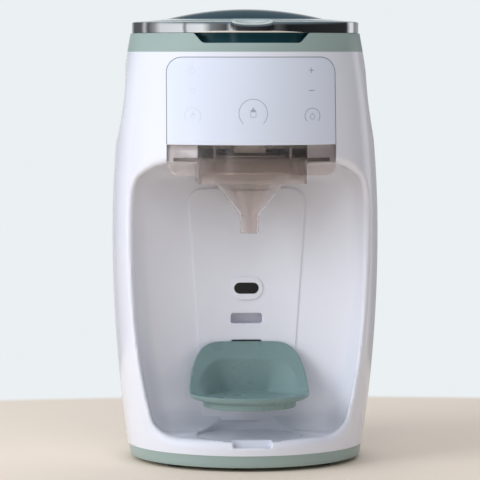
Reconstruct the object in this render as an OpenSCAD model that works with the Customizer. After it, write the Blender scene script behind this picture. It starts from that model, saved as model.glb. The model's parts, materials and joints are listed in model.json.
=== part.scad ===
// Baby formula maker: a counter-top machine that doses powder, warms water and fills a bottle.
// Millimetres, X to the right, Y to the back, Z up; the origin is under the middle of the box.
// Distances "forward" are measured from the barrel's axis towards the front.

/* [Body] */
// Widest width of the barrel-shaped body
width = 220; // [200:1:240]
// Depth from the funnel plate to the back of the water tank
depth = 265; // [255:1:290]
// Distance from the barrel's axis back to the housing's flat back
tower_back = 75.7; // [74:0.1:77]
// Radius of the arc that bulges the sides
side_arc = 900; // [700:10:1400]
// Height of the widest point
belly_z = 185; // [165:1:205]
// Wall of the mouldings
wall = 2.6; // [2:0.1:3.2]
// Clearance between parts that fit together
fit = 0.3; // [0.2:0.05:0.5]
// Radial play of a shaft in its bore
play = 0.05; // [0.02:0.01:0.1]

/* [Levels] */
// Height to the top of the lid's dome
height = 371; // [350:1:390]
// Height of the rubber feet
foot_h = 3; // [2:0.5:5]
// Height of the coloured base ring
base_h = 10; // [8:0.5:14]
// Height of the coloured collar
collar_h = 15; // [12:0.5:18]
// Height of the lid's bright rim
rim_h = 8.5; // [7:0.5:10]
// Rise of the domed lid window
dome_h = 10; // [6:0.5:14]

/* [Bottle bay] */
// Height of the bay's floor over the base ring
bay_floor = 13; // [10:0.5:16]
// Width of the housing beside the bay where the bay is widest
bay_side_w = 11.5; // [10:0.5:20]
// Radius of the arc of the bay's side edges
bay_arc = 640; // [500:10:900]
// Radius of the upper corners
bay_top_r = 33; // [20:1:40]
// Radius of the lower corners
bay_foot_r = 14; // [8:1:20]
// Radius of the concave back wall
bay_back_r = 185.5; // [170:0.5:200]
// Depth of the bay from the funnel plate to the middle of its back wall
bay_depth = 91.8; // [89:0.1:94]
// Radius of the rounded mouth
mouth_r = 8; // [6:0.5:10]
// Radius of the ring recess in the floor
recess_r = 42.4; // [38:0.2:44]
// Depth of the recess in the floor
recess_d = 2; // [1:0.5:3]
// Depth of the notch that leads out of the recess over the lip
notch_cut = 4.5; // [3:0.5:5]

/* [Front] */
// Width of the control panel and of the funnel plate
panel_w = 135; // [120:1:140]
// Height of the control panel
panel_h = 69.5; // [60:0.5:76]
// Distance from the top of the housing to the panel
panel_drop = 4.5; // [3:0.5:7]
// Radius of the panel's upper corners
panel_r = 12; // [6:1:16]
// Thickness of the panel
panel_t = 1.8; // [1.6:0.1:2.2]
// How far the panel stands proud of the housing
panel_proud = 0.4; // [0.2:0.1:0.8]
// Height of the funnel plate
plate_h = 24; // [20:0.5:28]
// Width of the notch in the collar at its top edge
notch_w = 95; // [80:1:110]
// Depth of the notch in the collar
notch_d = 8; // [6:0.5:9]

/* [Funnel] */
// Distance from the funnel plate back to the funnel's axis
funnel_back = 48.8; // [46:0.2:51]
// Radius of the funnel at its top
funnel_r = 34.4; // [30:0.2:36]
// Height of the funnel's cone
funnel_cone_h = 34.4; // [26:0.2:36]
// Radius of the spout
spout_r = 7.6; // [6:0.2:9]
// Length of the spout
spout_h = 14; // [10:0.5:18]
// Half width of the carriage that hangs under the funnel plate
skirt_half = 43; // [41:0.5:46]

/* [Powder system] */
// Distance from the collar's outside in to the wide mouth of the hopper
hopper_inset = 10.5; // [9.5:0.5:12]
// Step from the hopper's wide mouth in to the powder drum
drum_step = 14; // [12:0.5:18]
// Distance forward from the barrel's axis to the drum's axis
drum_f = 10; // [8:0.5:12]
// Module of the gears
gear_m = 1.25; // [1.1:0.05:1.3]
// Teeth of the large gear
gear_teeth = 40; // [36:1:42]
// Teeth of the motor pinion
pinion_teeth = 14; // [12:1:16]
// Width of the gears
gear_w = 5; // [4:0.5:5]
// Radius of the dosing pockets
pocket_r = 8.5; // [7:0.5:9.5]
// Number of dosing pockets
pocket_count = 6; // [4:1:8]

/* [Back wall] */
// Spacing of the three stand slots
slot_pitch = 22.1; // [20:0.1:24]
// Height of the lowest slot over the bay's floor
slot_rise = 46.5; // [44:0.5:50]
// Width of a slot
slot_w = 25.8; // [22:0.2:28]
// Height of a slot
slot_h = 8.6; // [7:0.2:9]
// Height of the bottle sensor over the bay's floor
sensor_rise = 115.6; // [112:0.2:118]

/* [Bottle stand] */
// Width of the stand's rim
stand_w = 98; // [92:1:100]
// Height of the stand's front lip over the bay's floor
stand_rise = 34; // [30:0.5:38]
// Extra height of the stand's back
stand_back = 38; // [30:1:40]
// Radius of the stand's lower ring
stand_ring_r = 38; // [34:0.5:40]
// Height of the stand's lower ring
stand_ring_h = 7; // [5:0.5:9]

/* [Water system] */
// Largest radius of the water tank
tank_r = 74; // [68:0.5:76]
// Drop from the top of the housing to the top of the tank's lid
tank_drop = 10; // [6:0.5:14]
// Height of the tank's lid
tank_lid_h = 8; // [6:0.5:10]
// Travel of the tank's valve
valve_travel = 3; // [2:0.5:3.5]
// Radius of the hoses
hose_r = 3; // [2.5:0.1:3.5]

/* [Hidden] */
$fn = 64;

white = [0.93, 0.94, 0.95];
sage = [0.55, 0.65, 0.63];
smoke = [0.42, 0.36, 0.33];
dark = [0.12, 0.14, 0.15];
steel = [0.72, 0.74, 0.76];
board_green = [0.1, 0.35, 0.22];

arc_step = 24;

// Levels worked out from the driving heights
cover_rise = 1.2;
cover_top = height - dome_h;
rim_top = cover_top - cover_rise;
lid_z = rim_top - rim_h;
collar_top = lid_z - fit;
shell_top = collar_top - collar_h;
base_top = foot_h + base_h;
floor_z = base_top + bay_floor;
panel_top = shell_top - panel_drop;
panel_z = panel_top - panel_h;
plate_top = panel_z;
plate_z = plate_top - plate_h;
ceiling_z = plate_z + 8;
bay_wide_z = belly_z + 10;

// Plan: the barrel stands so that the funnel plate is the front of the box
plate_front = arc_r(plate_z) + panel_proud;
axis_y = plate_front - depth / 2;
tank_y = depth / 2 - tank_r;
bulkhead_y = axis_y + tower_back;
tank_front_y = bulkhead_y + 0.8;
seam_f = -30;
seam_y = axis_y - seam_f;
hopper_back_y = bulkhead_y - wall - 11;
bay_half = width / 2 - bay_side_w;
bay_back_f = plate_front - bay_depth;
funnel_f = plate_front - funnel_back;
hopper_r = arc_r(collar_top) - hopper_inset;
drum_r = hopper_r - drum_step;
big = 400;

// The barrel's radius at a height, moved in by an inset. The arc is taken in the same steps
// everywhere, counted from the belly, so that parts that follow it meet without slivers.
function true_arc(z, inset) =
  sqrt(pow(side_arc - inset, 2) - pow(z - belly_z, 2)) - side_arc + width / 2;
function step_under(z) = floor((z - belly_z) / arc_step);
function arc_r(z, inset = 0) =
  let (low = belly_z + arc_step * step_under(z), t = (z - low) / arc_step)
  true_arc(low, inset) * (1 - t) + true_arc(low + arc_step, inset) * t;

function arc_points(inset, z0, z1, drop = 0) = concat(
  [[arc_r(z0, inset) - drop, z0]],
  [for (k = [step_under(z0) + 1 : step_under(z1 - 0.001)])
    let (z = belly_z + arc_step * k)
    if (z > z0 + 0.001) [arc_r(z, inset) - drop, z]],
  [[arc_r(z1, inset) - drop, z1]]
);

module arc_solid(inset, z0, z1, drop = 0) {
  rotate_extrude($fn = 96)
    polygon(concat([[0, z0]], arc_points(inset, z0, z1, drop), [[0, z1]]));
}

// The barrel body, filled, between two heights
module barrel(inset, z0, z1) {
  translate([0, axis_y, 0]) arc_solid(inset, z0, z1);
}

// The round of the water tank, filled, between two heights
module tank_round(inset, z0, z1) {
  translate([0, tank_y, 0]) arc_solid(inset, z0, z1, width / 2 - tank_r);
}

// Everything behind, or in front of, a plane across the machine
module behind(y) {
  translate([-big / 2, y, -10]) cube([big, big, big * 1.2]);
}

module before(y) {
  translate([-big / 2, y - big, -10]) cube([big, big, big * 1.2]);
}

// A place at a distance forward of the barrel's axis
module forward(f, x = 0, z = 0) {
  translate([x, axis_y - f, z]) children();
}

// Extrudes an outline of the front view from one forward distance to another
module front_prism(f0, f1) {
  forward(f0) rotate([90, 0, 0]) linear_extrude(f1 - f0) children();
}

// An upright tube
module tube(r, bore, z0, z1) {
  difference() {
    translate([0, 0, z0]) cylinder(r = r, h = z1 - z0);
    translate([0, 0, z0 - 1]) cylinder(r = bore, h = z1 - z0 + 2);
  }
}

// A round rod, or its bore, across the machine
module rod_x(y, z, r, x0 = -big / 2, x1 = big / 2) {
  translate([x0, y, z]) rotate([0, 90, 0]) cylinder(r = r, h = x1 - x0);
}

// A round rod, or its bore, along Y: towards the back, or the front with a minus length
module rod_y(x, y, z, r, length) {
  translate([x, y, z]) rotate([length > 0 ? -90 : 90, 0, 0]) cylinder(r = r, h = abs(length));
}

// ---- Bottle bay -------------------------------------------------------------

side_x = bay_half - bay_arc;
bay_axis_f = bay_back_f + bay_back_r;

function corner_x(r, z) = side_x + sqrt(pow(bay_arc - r, 2) - pow(z - bay_wide_z, 2));
function arc_at(cx, cz, r, a) = [cx + r * cos(a), cz + r * sin(a)];

foot_corner_z = floor_z + bay_foot_r;
foot_corner_x = corner_x(bay_foot_r, foot_corner_z);
top_corner_z = ceiling_z - bay_top_r;
top_corner_x = corner_x(bay_top_r, top_corner_z);
foot_angle = atan2(foot_corner_z - bay_wide_z, foot_corner_x - side_x);
top_angle = atan2(top_corner_z - bay_wide_z, top_corner_x - side_x);

// Right half of the bay's outline in the front view, from the floor up, moved out by grow
function bay_side(grow) = concat(
  [for (i = [0 : 5])
    arc_at(foot_corner_x, foot_corner_z, bay_foot_r + grow, -90 + (foot_angle + 90) * i / 5)],
  [for (i = [1 : 7])
    arc_at(side_x, bay_wide_z, bay_arc + grow, foot_angle + (top_angle - foot_angle) * i / 8)],
  [for (i = [0 : 7])
    arc_at(top_corner_x, top_corner_z, bay_top_r + grow, top_angle + (90 - top_angle) * i / 7)]
);

// The whole outline, with points along the floor and the ceiling between the halves
function reversed(list) = [for (i = [len(list) - 1 : -1 : 0]) list[i]];
function flipped(list) = [for (p = list) [-p[0], p[1]]];
function bay_outline(grow) =
  let (half = bay_side(grow), first = half[0], last = half[len(half) - 1])
  concat(
    half,
    [for (t = [0.6, 0.2, -0.2, -0.6]) [last[0] * t, last[1]]],
    flipped(reversed(half)),
    [for (t = [-0.6, -0.2, 0.2, 0.6]) [first[0] * t, first[1]]]
  );

module bay(grow) {
  intersection() {
    front_prism(0, width) polygon(bay_outline(grow));
    forward(bay_axis_f, 0, -1) cylinder(r = bay_back_r + grow, h = shell_top, $fn = 128);
  }
}

// The rounded mouth: the bay's outline is laid on the barrel and swept through a quarter round.
// offset goes outwards along the surface, sunk goes in through it.
function laid(p) = [arc_r(p[1]) * asin(min(1, p[0] / arc_r(p[1]))) * PI / 180, p[1]];
function unit(v) = v / norm(v);
function mouth_normal(flat, i) =
  let (n = len(flat), d = unit(flat[(i + 1) % n] - flat[(i + n - 1) % n]))
  [d[1], -d[0]];
function on_barrel(q, sunk) =
  let (r = arc_r(q[1]), a = q[0] / r * 180 / PI)
  [(r - sunk) * sin(a), axis_y - (r - sunk) * cos(a), q[1]];
function round_offset(grow, a) = mouth_r - (mouth_r - grow) * sin(a);
function round_sunk(grow, a) = mouth_r - (mouth_r - grow) * cos(a);

module mouth(grow) {
  first_angle = 15;
  rise = round_sunk(grow, first_angle) + 1;
  reach = rise / tan(first_angle);
  profile = concat(
    [[round_offset(grow, first_angle) + reach, -1]],
    [for (a = [first_angle, 33, 52, 71, 90]) [round_offset(grow, a), round_sunk(grow, a)]],
    [[-4, mouth_r + 3]]
  );
  flat = [for (p = bay_outline(0)) laid(p)];
  n = len(flat);
  front_ring = [
    for (i = [0 : n - 1])
      let (q = on_barrel(flat[i] + mouth_normal(flat, i) * profile[0][0], -1))
      [q[0], axis_y - width * 0.7, q[2]]
  ];
  rings = concat([front_ring], [
    for (s = profile)
      [for (i = [0 : n - 1]) on_barrel(flat[i] + mouth_normal(flat, i) * s[0], s[1])]
  ]);
  m = len(rings);
  points = concat(
    [for (ring = rings) each ring],
    [[0, axis_y - width * 0.7, bay_wide_z - 50], [0, axis_y - 60, bay_wide_z - 50]]
  );
  faces = concat(
    [for (k = [0 : m - 2]) for (i = [0 : n - 1])
      let (j = (i + 1) % n)
      each [[k * n + i, k * n + j, (k + 1) * n + j], [k * n + i, (k + 1) * n + j, (k + 1) * n + i]]],
    [for (i = [0 : n - 1]) [m * n, (i + 1) % n, i]],
    [for (i = [0 : n - 1]) [m * n + 1, (m - 1) * n + i, (m - 1) * n + (i + 1) % n]]
  );
  polyhedron(points = points, faces = faces);
}

// ---- Housing ----------------------------------------------------------------

grip_r = 60;
grip_depth = 5;
grip_z = shell_top - 36;
grip_x = arc_r(grip_z) - grip_depth + grip_r;
ledge = 5;
ledge_h = 3;
deck_t = 2.5;
deck_z = panel_z + 0.5;
deck_top = deck_z + deck_t;
window_half = panel_w / 2 + fit;
skirt_gap = skirt_half + fit;
drawer_back_f = bay_back_f + 4;
recess_f = funnel_f - 4;
slot_depth = 12;
slot_zs = [for (i = [0 : 2]) floor_z + slot_rise + i * slot_pitch];
sensor_z = floor_z + sensor_rise;
sensor_w = 26.5;
sensor_h = 18.8;
lens_w = 20;
lens_h = 9;

// An upright rounded slot shape in the front view
module slot_shape(w, h, r) {
  for (s = [-1, 1]) translate([s * (w / 2 - r), 0]) circle(r = r);
  square([w - 2 * r, h], center = true);
}

module oval_shape(w, h) {
  for (s = [-1, 1]) translate([s * (w - h) / 2, 0]) circle(r = h / 2);
  square([w - h, h], center = true);
}

module grips(grow) {
  for (s = [-1, 1])
    translate([s * grip_x, axis_y, grip_z]) sphere(r = grip_r + grow, $fn = 72);
}

// The outline of the control panel, with round upper corners
module panel_shape(grow) {
  top = panel_top + grow;
  half = panel_w / 2 + grow;
  r = panel_r + grow;
  for (s = [-1, 1]) translate([s * (half - r), top - r]) circle(r = r);
  translate([-half, panel_z]) square([2 * half, panel_h - panel_r]);
  translate([r - half, panel_z]) square([2 * (half - r), panel_h + grow]);
}

// A slab that follows the barrel, cut to an outline of the front view
module front_slab(proud, thick, z0, z1) {
  intersection() {
    difference() {
      barrel(-proud, z0, z1);
      barrel(thick - proud, z0 - 1, z1 + 1);
    }
    front_prism(30, width) children();
  }
}

// What the shell keeps inside its wall: the bay's walls, the grips, the deck's ledge, the bosses
module inner_walls() {
  bay(wall);
  mouth(wall);
  grips(wall);
  difference() {
    translate([-width, -depth, deck_z - ledge_h]) cube([2 * width, 2 * depth, ledge_h]);
    barrel(wall + ledge, 0, shell_top);
    front_prism(0, width) translate([-window_half - 3, 0]) square([2 * window_half + 6, shell_top]);
  }
  forward(recess_f, 0, floor_z - wall - recess_d) cylinder(r = recess_r + wall, h = wall + recess_d);
  recess_notch(wall);
  for (z = slot_zs) slot_pocket(z, wall);
  corner_bosses();
}

// The closed pocket behind a stand slot
module slot_pocket(z, grow) {
  front_prism(bay_back_f - slot_depth - grow, bay_back_f + 1)
    translate([0, z]) slot_shape(slot_w + 2 * grow, slot_h + 2 * grow, 2 + grow);
}

boss_r = 4.5;
boss_bore = 1.6;
boss_places = [for (a = [35, 120]) for (s = [-1, 1]) [s, a]];

boss_ring = arc_r(base_top, wall) - boss_r - 1.5;

function boss_at(s, a) = [s * boss_ring * sin(a), axis_y - boss_ring * cos(a)];

// Screw bosses, each with a web to the wall
module corner_bosses() {
  for (b = boss_places)
    translate(concat(boss_at(b[0], b[1]), [base_top - 1])) {
      cylinder(r = boss_r, h = bay_floor);
      rotate(-90 + b[0] * b[1]) translate([0, -1.5, 0]) cube([boss_r + 6, 3, bay_floor]);
    }
}

module boss_bores(r, z0, z1) {
  for (b = boss_places) translate(concat(boss_at(b[0], b[1]), [z0])) cylinder(r = r, h = z1 - z0);
}

notch_half = 16.2;
notch_taper = 2.8;

// The cut in the front of the bay's floor that leads out of the round recess
module recess_notch(grow) {
  forward(recess_f, 0, floor_z - notch_cut - grow)
    linear_extrude(mouth_r + notch_cut)
      offset(delta = grow)
        polygon([[-notch_half, 0], [notch_half, 0], [notch_half - notch_taper, -width / 2],
          [notch_taper - notch_half, -width / 2]]);
}

module front_housing() {
  color(white)
    difference() {
      barrel(0, base_top, shell_top);
      difference() {
        barrel(wall, base_top - 1, shell_top + 1);
        inner_walls();
      }
      bay(0);
      mouth(0);
      grips(0);
      behind(seam_y);
      // Recess for the bottle and its way out to the front
      forward(recess_f, 0, floor_z - recess_d) cylinder(r = recess_r, h = 10);
      recess_notch(0);
      // Seat of the control panel, and the opening behind it
      difference() {
        front_prism(30, width) panel_shape(fit);
        barrel(panel_t - panel_proud, panel_z - 1, shell_top);
      }
      front_prism(30, width)
        translate([-film_half - 3, deck_top]) square([2 * film_half + 6, film_h + 6]);
      // Slot of the funnel plate, and the window of its carriage in the ceiling
      difference() {
        front_prism(30, width)
          translate([-window_half, ceiling_z - 4]) square([2 * window_half, panel_z - ceiling_z + 4.01]);
        barrel(wall + 1, plate_z - 20, panel_z + 20);
      }
      front_prism(drawer_back_f - 1, width) {
        translate([-skirt_gap, ceiling_z - 1]) square([2 * skirt_gap, 8]);
        translate([-rail_half - fit, ceiling_z + wall])
          square([2 * (rail_half + fit), panel_z - ceiling_z - wall]);
      }
      // Seat of the back panel, its slots and its sensor
      back_panel_cut();
      for (z = slot_zs) slot_pocket(z, 0);
      front_prism(0, 60) translate([0, sensor_z]) oval_shape(sensor_w - 4, sensor_h - 4);
      boss_bores(boss_bore, 0, base_top + 9);
    }
}

dock_top = base_top + 17;
gland_r = 5.4;
gland_bore = 3.5;
gland_lip = 1.8;
gland_z = base_top + 8.5;
gland_seat_y = tank_y + arc_r(gland_z) - (width / 2 - tank_r) - 1.2;

// The barrel, cut flat at a plane y above the dock that the tank stands on
module cut_barrel(inset, z0, z1, y, dock) {
  intersection() {
    barrel(inset, z0, z1);
    union() {
      before(y);
      translate([-big / 2, -big / 2, -10]) cube([big, big, dock + 10]);
    }
  }
}

// The whole rear moulding, which is parted behind the bulkhead
module rear_shell() {
  difference() {
    union() {
      cut_barrel(0, base_top, shell_top, bulkhead_y, dock_top);
      tank_round(0, base_top, dock_top);
    }
    before(seam_y);
    difference() {
      union() {
        cut_barrel(wall, base_top - 1, shell_top + 1, bulkhead_y - wall, dock_top - wall);
        tank_round(wall, base_top - 1, dock_top - wall);
      }
      grips(wall);
      rear_ledge();
      corner_bosses();
      translate([0, port_y, base_top]) cylinder(r = port_r + 2.4, h = 20);
      for (p = power_posts)
        rod_y(p[0], bulkhead_y - wall - post_h, p[1], 3, post_h + 1);
    }
    grips(0);
    translate([0, port_y, base_top - 1]) cylinder(r = port_r, h = 40);
    rod_y(0, port_y, nipple_z, hose_r + 0.8, -port_r - 4);
    rod_y(0, depth / 2, gland_z, gland_r + play, -40);
    rod_y(0, gland_seat_y, gland_z, gland_r + gland_lip + fit, 20);
    boss_bores(boss_bore, 0, base_top + 9);
  }
}

module rear_housing() {
  color(white)
    difference() {
      rear_shell();
      behind(bulkhead_y);
    }
}

// The dock behind the bulkhead, which the tank stands on
module tank_dock() {
  color(white)
    difference() {
      rear_shell();
      before(bulkhead_y);
    }
}

module rear_ledge() {
  difference() {
    translate([-width, -depth, deck_z - ledge_h]) cube([2 * width, 2 * depth, ledge_h]);
    intersection() {
      barrel(wall + ledge, 0, shell_top);
      before(bulkhead_y - wall - ledge);
    }
  }
}

// ---- Base -------------------------------------------------------------------

base_inset = 0.8;
floor_t = 3;
foot_r = 9;
foot_x = width / 2 - 52;
foot_f = width / 2 - 58;
back_foot_x = tank_r - 40;
back_foot_y = tank_y + tank_r - 43;
foot_places = [
  for (s = [-1, 1]) each [[s * foot_x, axis_y - foot_f], [s * back_foot_x, back_foot_y]]
];

module base_outline(inset, z0, z1) {
  barrel(inset, z0, z1);
  tank_round(inset, z0, z1);
}

module base_tray() {
  color(sage)
    difference() {
      union() {
        difference() {
          base_outline(base_inset, foot_h, base_top);
          base_outline(base_inset + wall, foot_h + floor_t, base_top + 1);
        }
        // Columns under the screw bosses, and the stand of the pump
        for (b = boss_places)
          translate(concat(boss_at(b[0], b[1]), [foot_h])) cylinder(r = boss_r + 1.5, h = base_h - 1);
        translate([pump_x, pump_y, foot_h]) cylinder(r = pump_r - 2, h = pump_z - foot_h);
      }
      boss_bores(2, 0, base_top + 1);
      boss_bores(3.6, foot_h - 1, foot_h + 3);
      // Air slots through the floor
      for (i = [-4 : 4])
        translate([i * 9 - 1.5, axis_y - 20, foot_h - 1]) cube([3, 34, floor_t + 2]);
      for (p = foot_places) translate([p[0], p[1], foot_h - 1]) cylinder(r = foot_r - 3, h = 2);
    }
}

module feet() {
  color(dark)
    for (p = foot_places)
      translate([p[0], p[1], 0]) {
        cylinder(r1 = foot_r - 0.8, r2 = foot_r, h = foot_h);
        translate([0, 0, foot_h - 0.5]) cylinder(r = foot_r - 3, h = 1.5);
      }
}

module base_screws() {
  color(steel)
    for (b = boss_places)
      translate(concat(boss_at(b[0], b[1]), [foot_h + 0.6])) {
        difference() {
          cylinder(r = 3.4, h = 2.4);
          translate([0, 0, -0.1]) cylinder(r = 1.5, h = 1.3, $fn = 6);
        }
        cylinder(r = boss_bore, h = base_h + 7);
      }
}

// ---- Back wall of the bay -----------------------------------------------------

back_low = 36;
back_high = 49;
back_top_z = ceiling_z - 22;
back_t = 2.4;
back_proud = 0.9;

// The tapered outline of the back panel, with rounded upper corners
module back_shape(grow) {
  r = 12 + grow;
  slope = (back_high - back_low) / (back_top_z - floor_z);
  cx = back_high - slope * 12 - 12;
  side = [for (a = [0 : 15 : 90]) [cx + r * cos(a), back_top_z - 12 + r * sin(a)]];
  polygon(concat([[back_low + grow, floor_z + 6 - grow]], side, flipped(reversed(side)),
    [[-back_low - grow, floor_z + 6 - grow]]));
}

module back_slab(front, back, grow) {
  intersection() {
    difference() {
      forward(bay_axis_f, 0, 0) cylinder(r = bay_back_r + back, h = shell_top, $fn = 128);
      forward(bay_axis_f, 0, -1) cylinder(r = bay_back_r - front, h = shell_top + 2, $fn = 128);
    }
    front_prism(0, bay_back_f + 30) back_shape(grow);
  }
}

module back_panel_cut() {
  back_slab(1, back_t - back_proud, fit);
}

module back_panel() {
  color(white)
    difference() {
      back_slab(back_proud, back_t - back_proud, 0);
      for (z = slot_zs) front_prism(0, 60) translate([0, z]) slot_shape(slot_w, slot_h, 2);
      front_prism(0, 60) translate([0, sensor_z]) oval_shape(sensor_w - 4, sensor_h - 4);
    }
}

module sensor_bezel() {
  f = bay_back_f + back_proud;
  color(white)
    difference() {
      intersection() {
        front_prism(f, f + 1.4) translate([0, sensor_z]) oval_shape(sensor_w, sensor_h);
        forward(bay_axis_f) cylinder(r = bay_back_r - back_proud, h = shell_top, $fn = 256);
      }
      front_prism(f - 1, f + 2) translate([0, sensor_z]) oval_shape(lens_w + fit, lens_h + fit);
    }
}

module sensor_window() {
  f = bay_back_f + back_proud;
  color(dark) {
    front_prism(f - 1, f + 1) translate([0, sensor_z]) oval_shape(lens_w, lens_h);
    front_prism(f - 8, f - 0.02) translate([0, sensor_z]) oval_shape(sensor_w - 5, sensor_h - 5);
  }
}

module sensor_board() {
  f = bay_back_f + back_proud - 8;
  color(board_green)
    front_prism(f - 1.6, f) translate([-17, sensor_z - 12]) square([34, 24]);
}

// ---- Control panel --------------------------------------------------------------

board_f = drum_f + drum_r + 6;
board_half = 38;
ring_z = panel_z + 25;
ring_r = 12;
film_half = 58;
film_h = panel_h - 18;
pad_x = 47;

module control_panel() {
  color(white)
    front_slab(panel_proud, panel_t, panel_z, panel_top) panel_shape(0);
}

// The touch film behind the panel, with a pad under each icon
module touch_film() {
  gap = panel_t - panel_proud + 0.05;
  color(board_green)
    difference() {
      union() {
        front_slab(-gap, 0.8, panel_z, panel_top) film_shape();
        front_slab(-gap, 1.8, panel_z, panel_top) pad_shapes();
      }
      front_prism(30, width) translate([0, ring_z]) circle(r = ring_r + fit);
    }
}

module film_shape() {
  translate([-film_half, deck_top + 3]) square([2 * film_half, film_h]);
}

module pad_shapes() {
  for (x = [-pad_x, pad_x])
    for (i = [0 : 2]) translate([x, ring_z - 2 + i * 15]) circle(r = i == 0 ? 6 : 3.5);
}

// The light guide behind the start ring
module light_ring() {
  color([0.9, 0.95, 1])
    intersection() {
      forward(board_f + 1.6, 0, ring_z) rotate([90, 0, 0]) tube(ring_r, ring_r - 2.5, 0, 40);
      barrel(panel_t - panel_proud + 0.05, base_top, shell_top);
    }
}

module control_board() {
  color(board_green) {
    front_prism(board_f, board_f + 1.6)
      translate([-board_half, deck_top]) square([2 * board_half, panel_h - 18]);
    front_prism(board_f - 4, board_f) {
      translate([-board_half + 6, deck_top + 8]) square([22, 14]);
      translate([8, deck_top + 6]) square([16, 16]);
    }
  }
}

// ---- Collar -----------------------------------------------------------------------

rebate_r = hopper_r + 4;
rebate_d = 2.1;

// The cut in the collar's front, whose ends rise in an S-curve
module notch_shape() {
  low = collar_top - notch_d;
  lower_r = 5;
  upper_r = 3;
  lean = 50;
  rise = notch_d - (lower_r + upper_r) * (1 - cos(lean));
  foot = notch_w / 2 - (lower_r + upper_r) * sin(lean) - rise / tan(lean);
  side = concat(
    [for (a = [0 : 10 : lean]) [foot + lower_r * sin(a), low + lower_r * (1 - cos(a))]],
    [for (a = [lean : -10 : 0]) [notch_w / 2 - upper_r * sin(a), collar_top - upper_r * (1 - cos(a))]],
    [[notch_w / 2, collar_top + 1]]
  );
  polygon(concat(side, flipped(reversed(side))));
}

module collar() {
  color(sage)
    difference() {
      intersection() {
        barrel(0, shell_top, collar_top);
        before(bulkhead_y);
      }
      intersection() {
        forward(0, 0, shell_top - 1) cylinder(r = hopper_r + 2 * fit, h = collar_h + 2);
        before(hopper_back_y + fit);
      }
      intersection() {
        forward(0, 0, collar_top - rebate_d) cylinder(r = rebate_r + fit, h = collar_h);
        before(hopper_back_y + fit);
      }
      // Room for the hopper's hinge lugs
      translate([-hinge_half - 3, 0, shell_top - 1])
        cube([2 * hinge_half + 6, bulkhead_y - wall, collar_h + 2]);
      front_prism(60, width) notch_shape();
    }
}

// ---- Powder drive -------------------------------------------------------------------

drum_y = axis_y - drum_f;
gear_r = gear_m * gear_teeth / 2;
pinion_pitch_r = gear_m * pinion_teeth / 2;
motor_y = drum_y + gear_r + pinion_pitch_r + 0.15;
gear_z = deck_top + 1.4;
hopper_z = gear_z + gear_w + 0.6;
hopper_floor_t = 2.5;
chute_r = 13;
chute_f = funnel_f;
shaft_r = 5;
hub_r = 9;
dog = 9;
pressure = 20;
motor_r = 14;
motor_h = 34;
nose_r = 3.8;
axle_r = 2;

// Involute teeth: half the angle of a tooth at a radius
function involute(a) = tan(a) - a * PI / 180;
function tooth_half(n, r) =
  let (pitch = gear_m * n / 2, base = pitch * cos(pressure))
  90 / n + (involute(pressure) - involute(acos(min(1, base / r)))) * 180 / PI;
function tooth_radii(n) =
  let (pitch = gear_m * n / 2, base = pitch * cos(pressure), top = pitch + 0.9 * gear_m)
  [for (i = [0 : 4]) base + (top - base) * i / 4];

module gear(n, turn) {
  root = gear_m * n / 2 - 1.2 * gear_m;
  slack = 0.12 / (gear_m * n / 2) * 180 / PI;
  side = [for (r = tooth_radii(n)) [r, tooth_half(n, r) - slack]];
  tooth = concat([[root, side[0][1]]], side);
  linear_extrude(gear_w)
    polygon([for (i = [0 : n - 1]) each concat(
      [for (t = tooth) t[0] * [cos(turn + i * 360 / n - t[1]), sin(turn + i * 360 / n - t[1])]],
      [for (t = reversed(tooth)) t[0] * [cos(turn + i * 360 / n + t[1]), sin(turn + i * 360 / n + t[1])]]
    )]);
}

module deck_plate() {
  color(white)
    difference() {
      intersection() {
        barrel(wall + fit, deck_z, deck_top);
        before(bulkhead_y - wall - fit);
      }
      translate([0, drum_y, 0]) cylinder(r = shaft_r + play, h = shell_top);
      translate([0, motor_y, 0]) cylinder(r = nose_r + play, h = shell_top);
      forward(chute_f) cylinder(r = chute_r, h = shell_top);
      for (s = [-1, 1]) forward(nozzle_f, s * nozzle_x) cylinder(r = nozzle_r, h = shell_top);
    }
}

module powder_chute() {
  color(white)
    forward(chute_f) {
      tube(chute_r, chute_r - 2, plate_top - 7.2, hopper_z - 0.5);
      tube(chute_r + 4, chute_r - 1, deck_top, deck_top + 1.6);
    }
}

module powder_motor() {
  color(steel)
    translate([0, motor_y, 0]) {
      difference() {
        union() {
          translate([0, 0, deck_z - motor_h]) cylinder(r = motor_r, h = motor_h);
          translate([0, 0, deck_z - 1]) cylinder(r = nose_r, h = deck_t + 1);
        }
        translate([0, 0, deck_z - 12]) cylinder(r = axle_r + play, h = 40);
      }
      translate([0, 0, deck_z - motor_h - 4]) cylinder(r = 5, h = 5);
    }
}

// The motor's pinion, with its axle down in the motor
module motor_pinion() {
  color(steel)
    translate([0, motor_y, 0]) {
      translate([0, 0, gear_z]) gear(pinion_teeth, -90 + 180 / pinion_teeth);
      translate([0, 0, deck_top + play]) cylinder(r = 5.5, h = gear_z - deck_top);
      translate([0, 0, deck_z - 10]) cylinder(r = axle_r, h = deck_t + 12);
    }
}

// The square drive between the gear and the dosing wheel
module dog_shape(grow, z0, z1) {
  side = dog + 2 * grow;
  translate([-side / 2, -side / 2, z0]) cube([side, side, z1 - z0]);
}

module drive_gear() {
  color(white)
    translate([0, drum_y, 0]) {
      difference() {
        translate([0, 0, gear_z]) gear(gear_teeth, 90);
        for (i = [0 : 5])
          rotate(i * 60 + 30) translate([gear_r * 0.6, 0, gear_z - 1]) cylinder(r = 5, h = gear_w + 2);
      }
      translate([0, 0, deck_top + play]) cylinder(r = hub_r, h = gear_z - deck_top);
      translate([0, 0, deck_z - 3]) cylinder(r = shaft_r, h = 8);
      dog_shape(0, gear_z + 1, gear_z + gear_w + 7);
    }
}

nozzle_x = 17;
nozzle_f = funnel_f - 25;
nozzle_r = 3.2;
manifold_h = 7.6;
nipple_x = 12;

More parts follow.
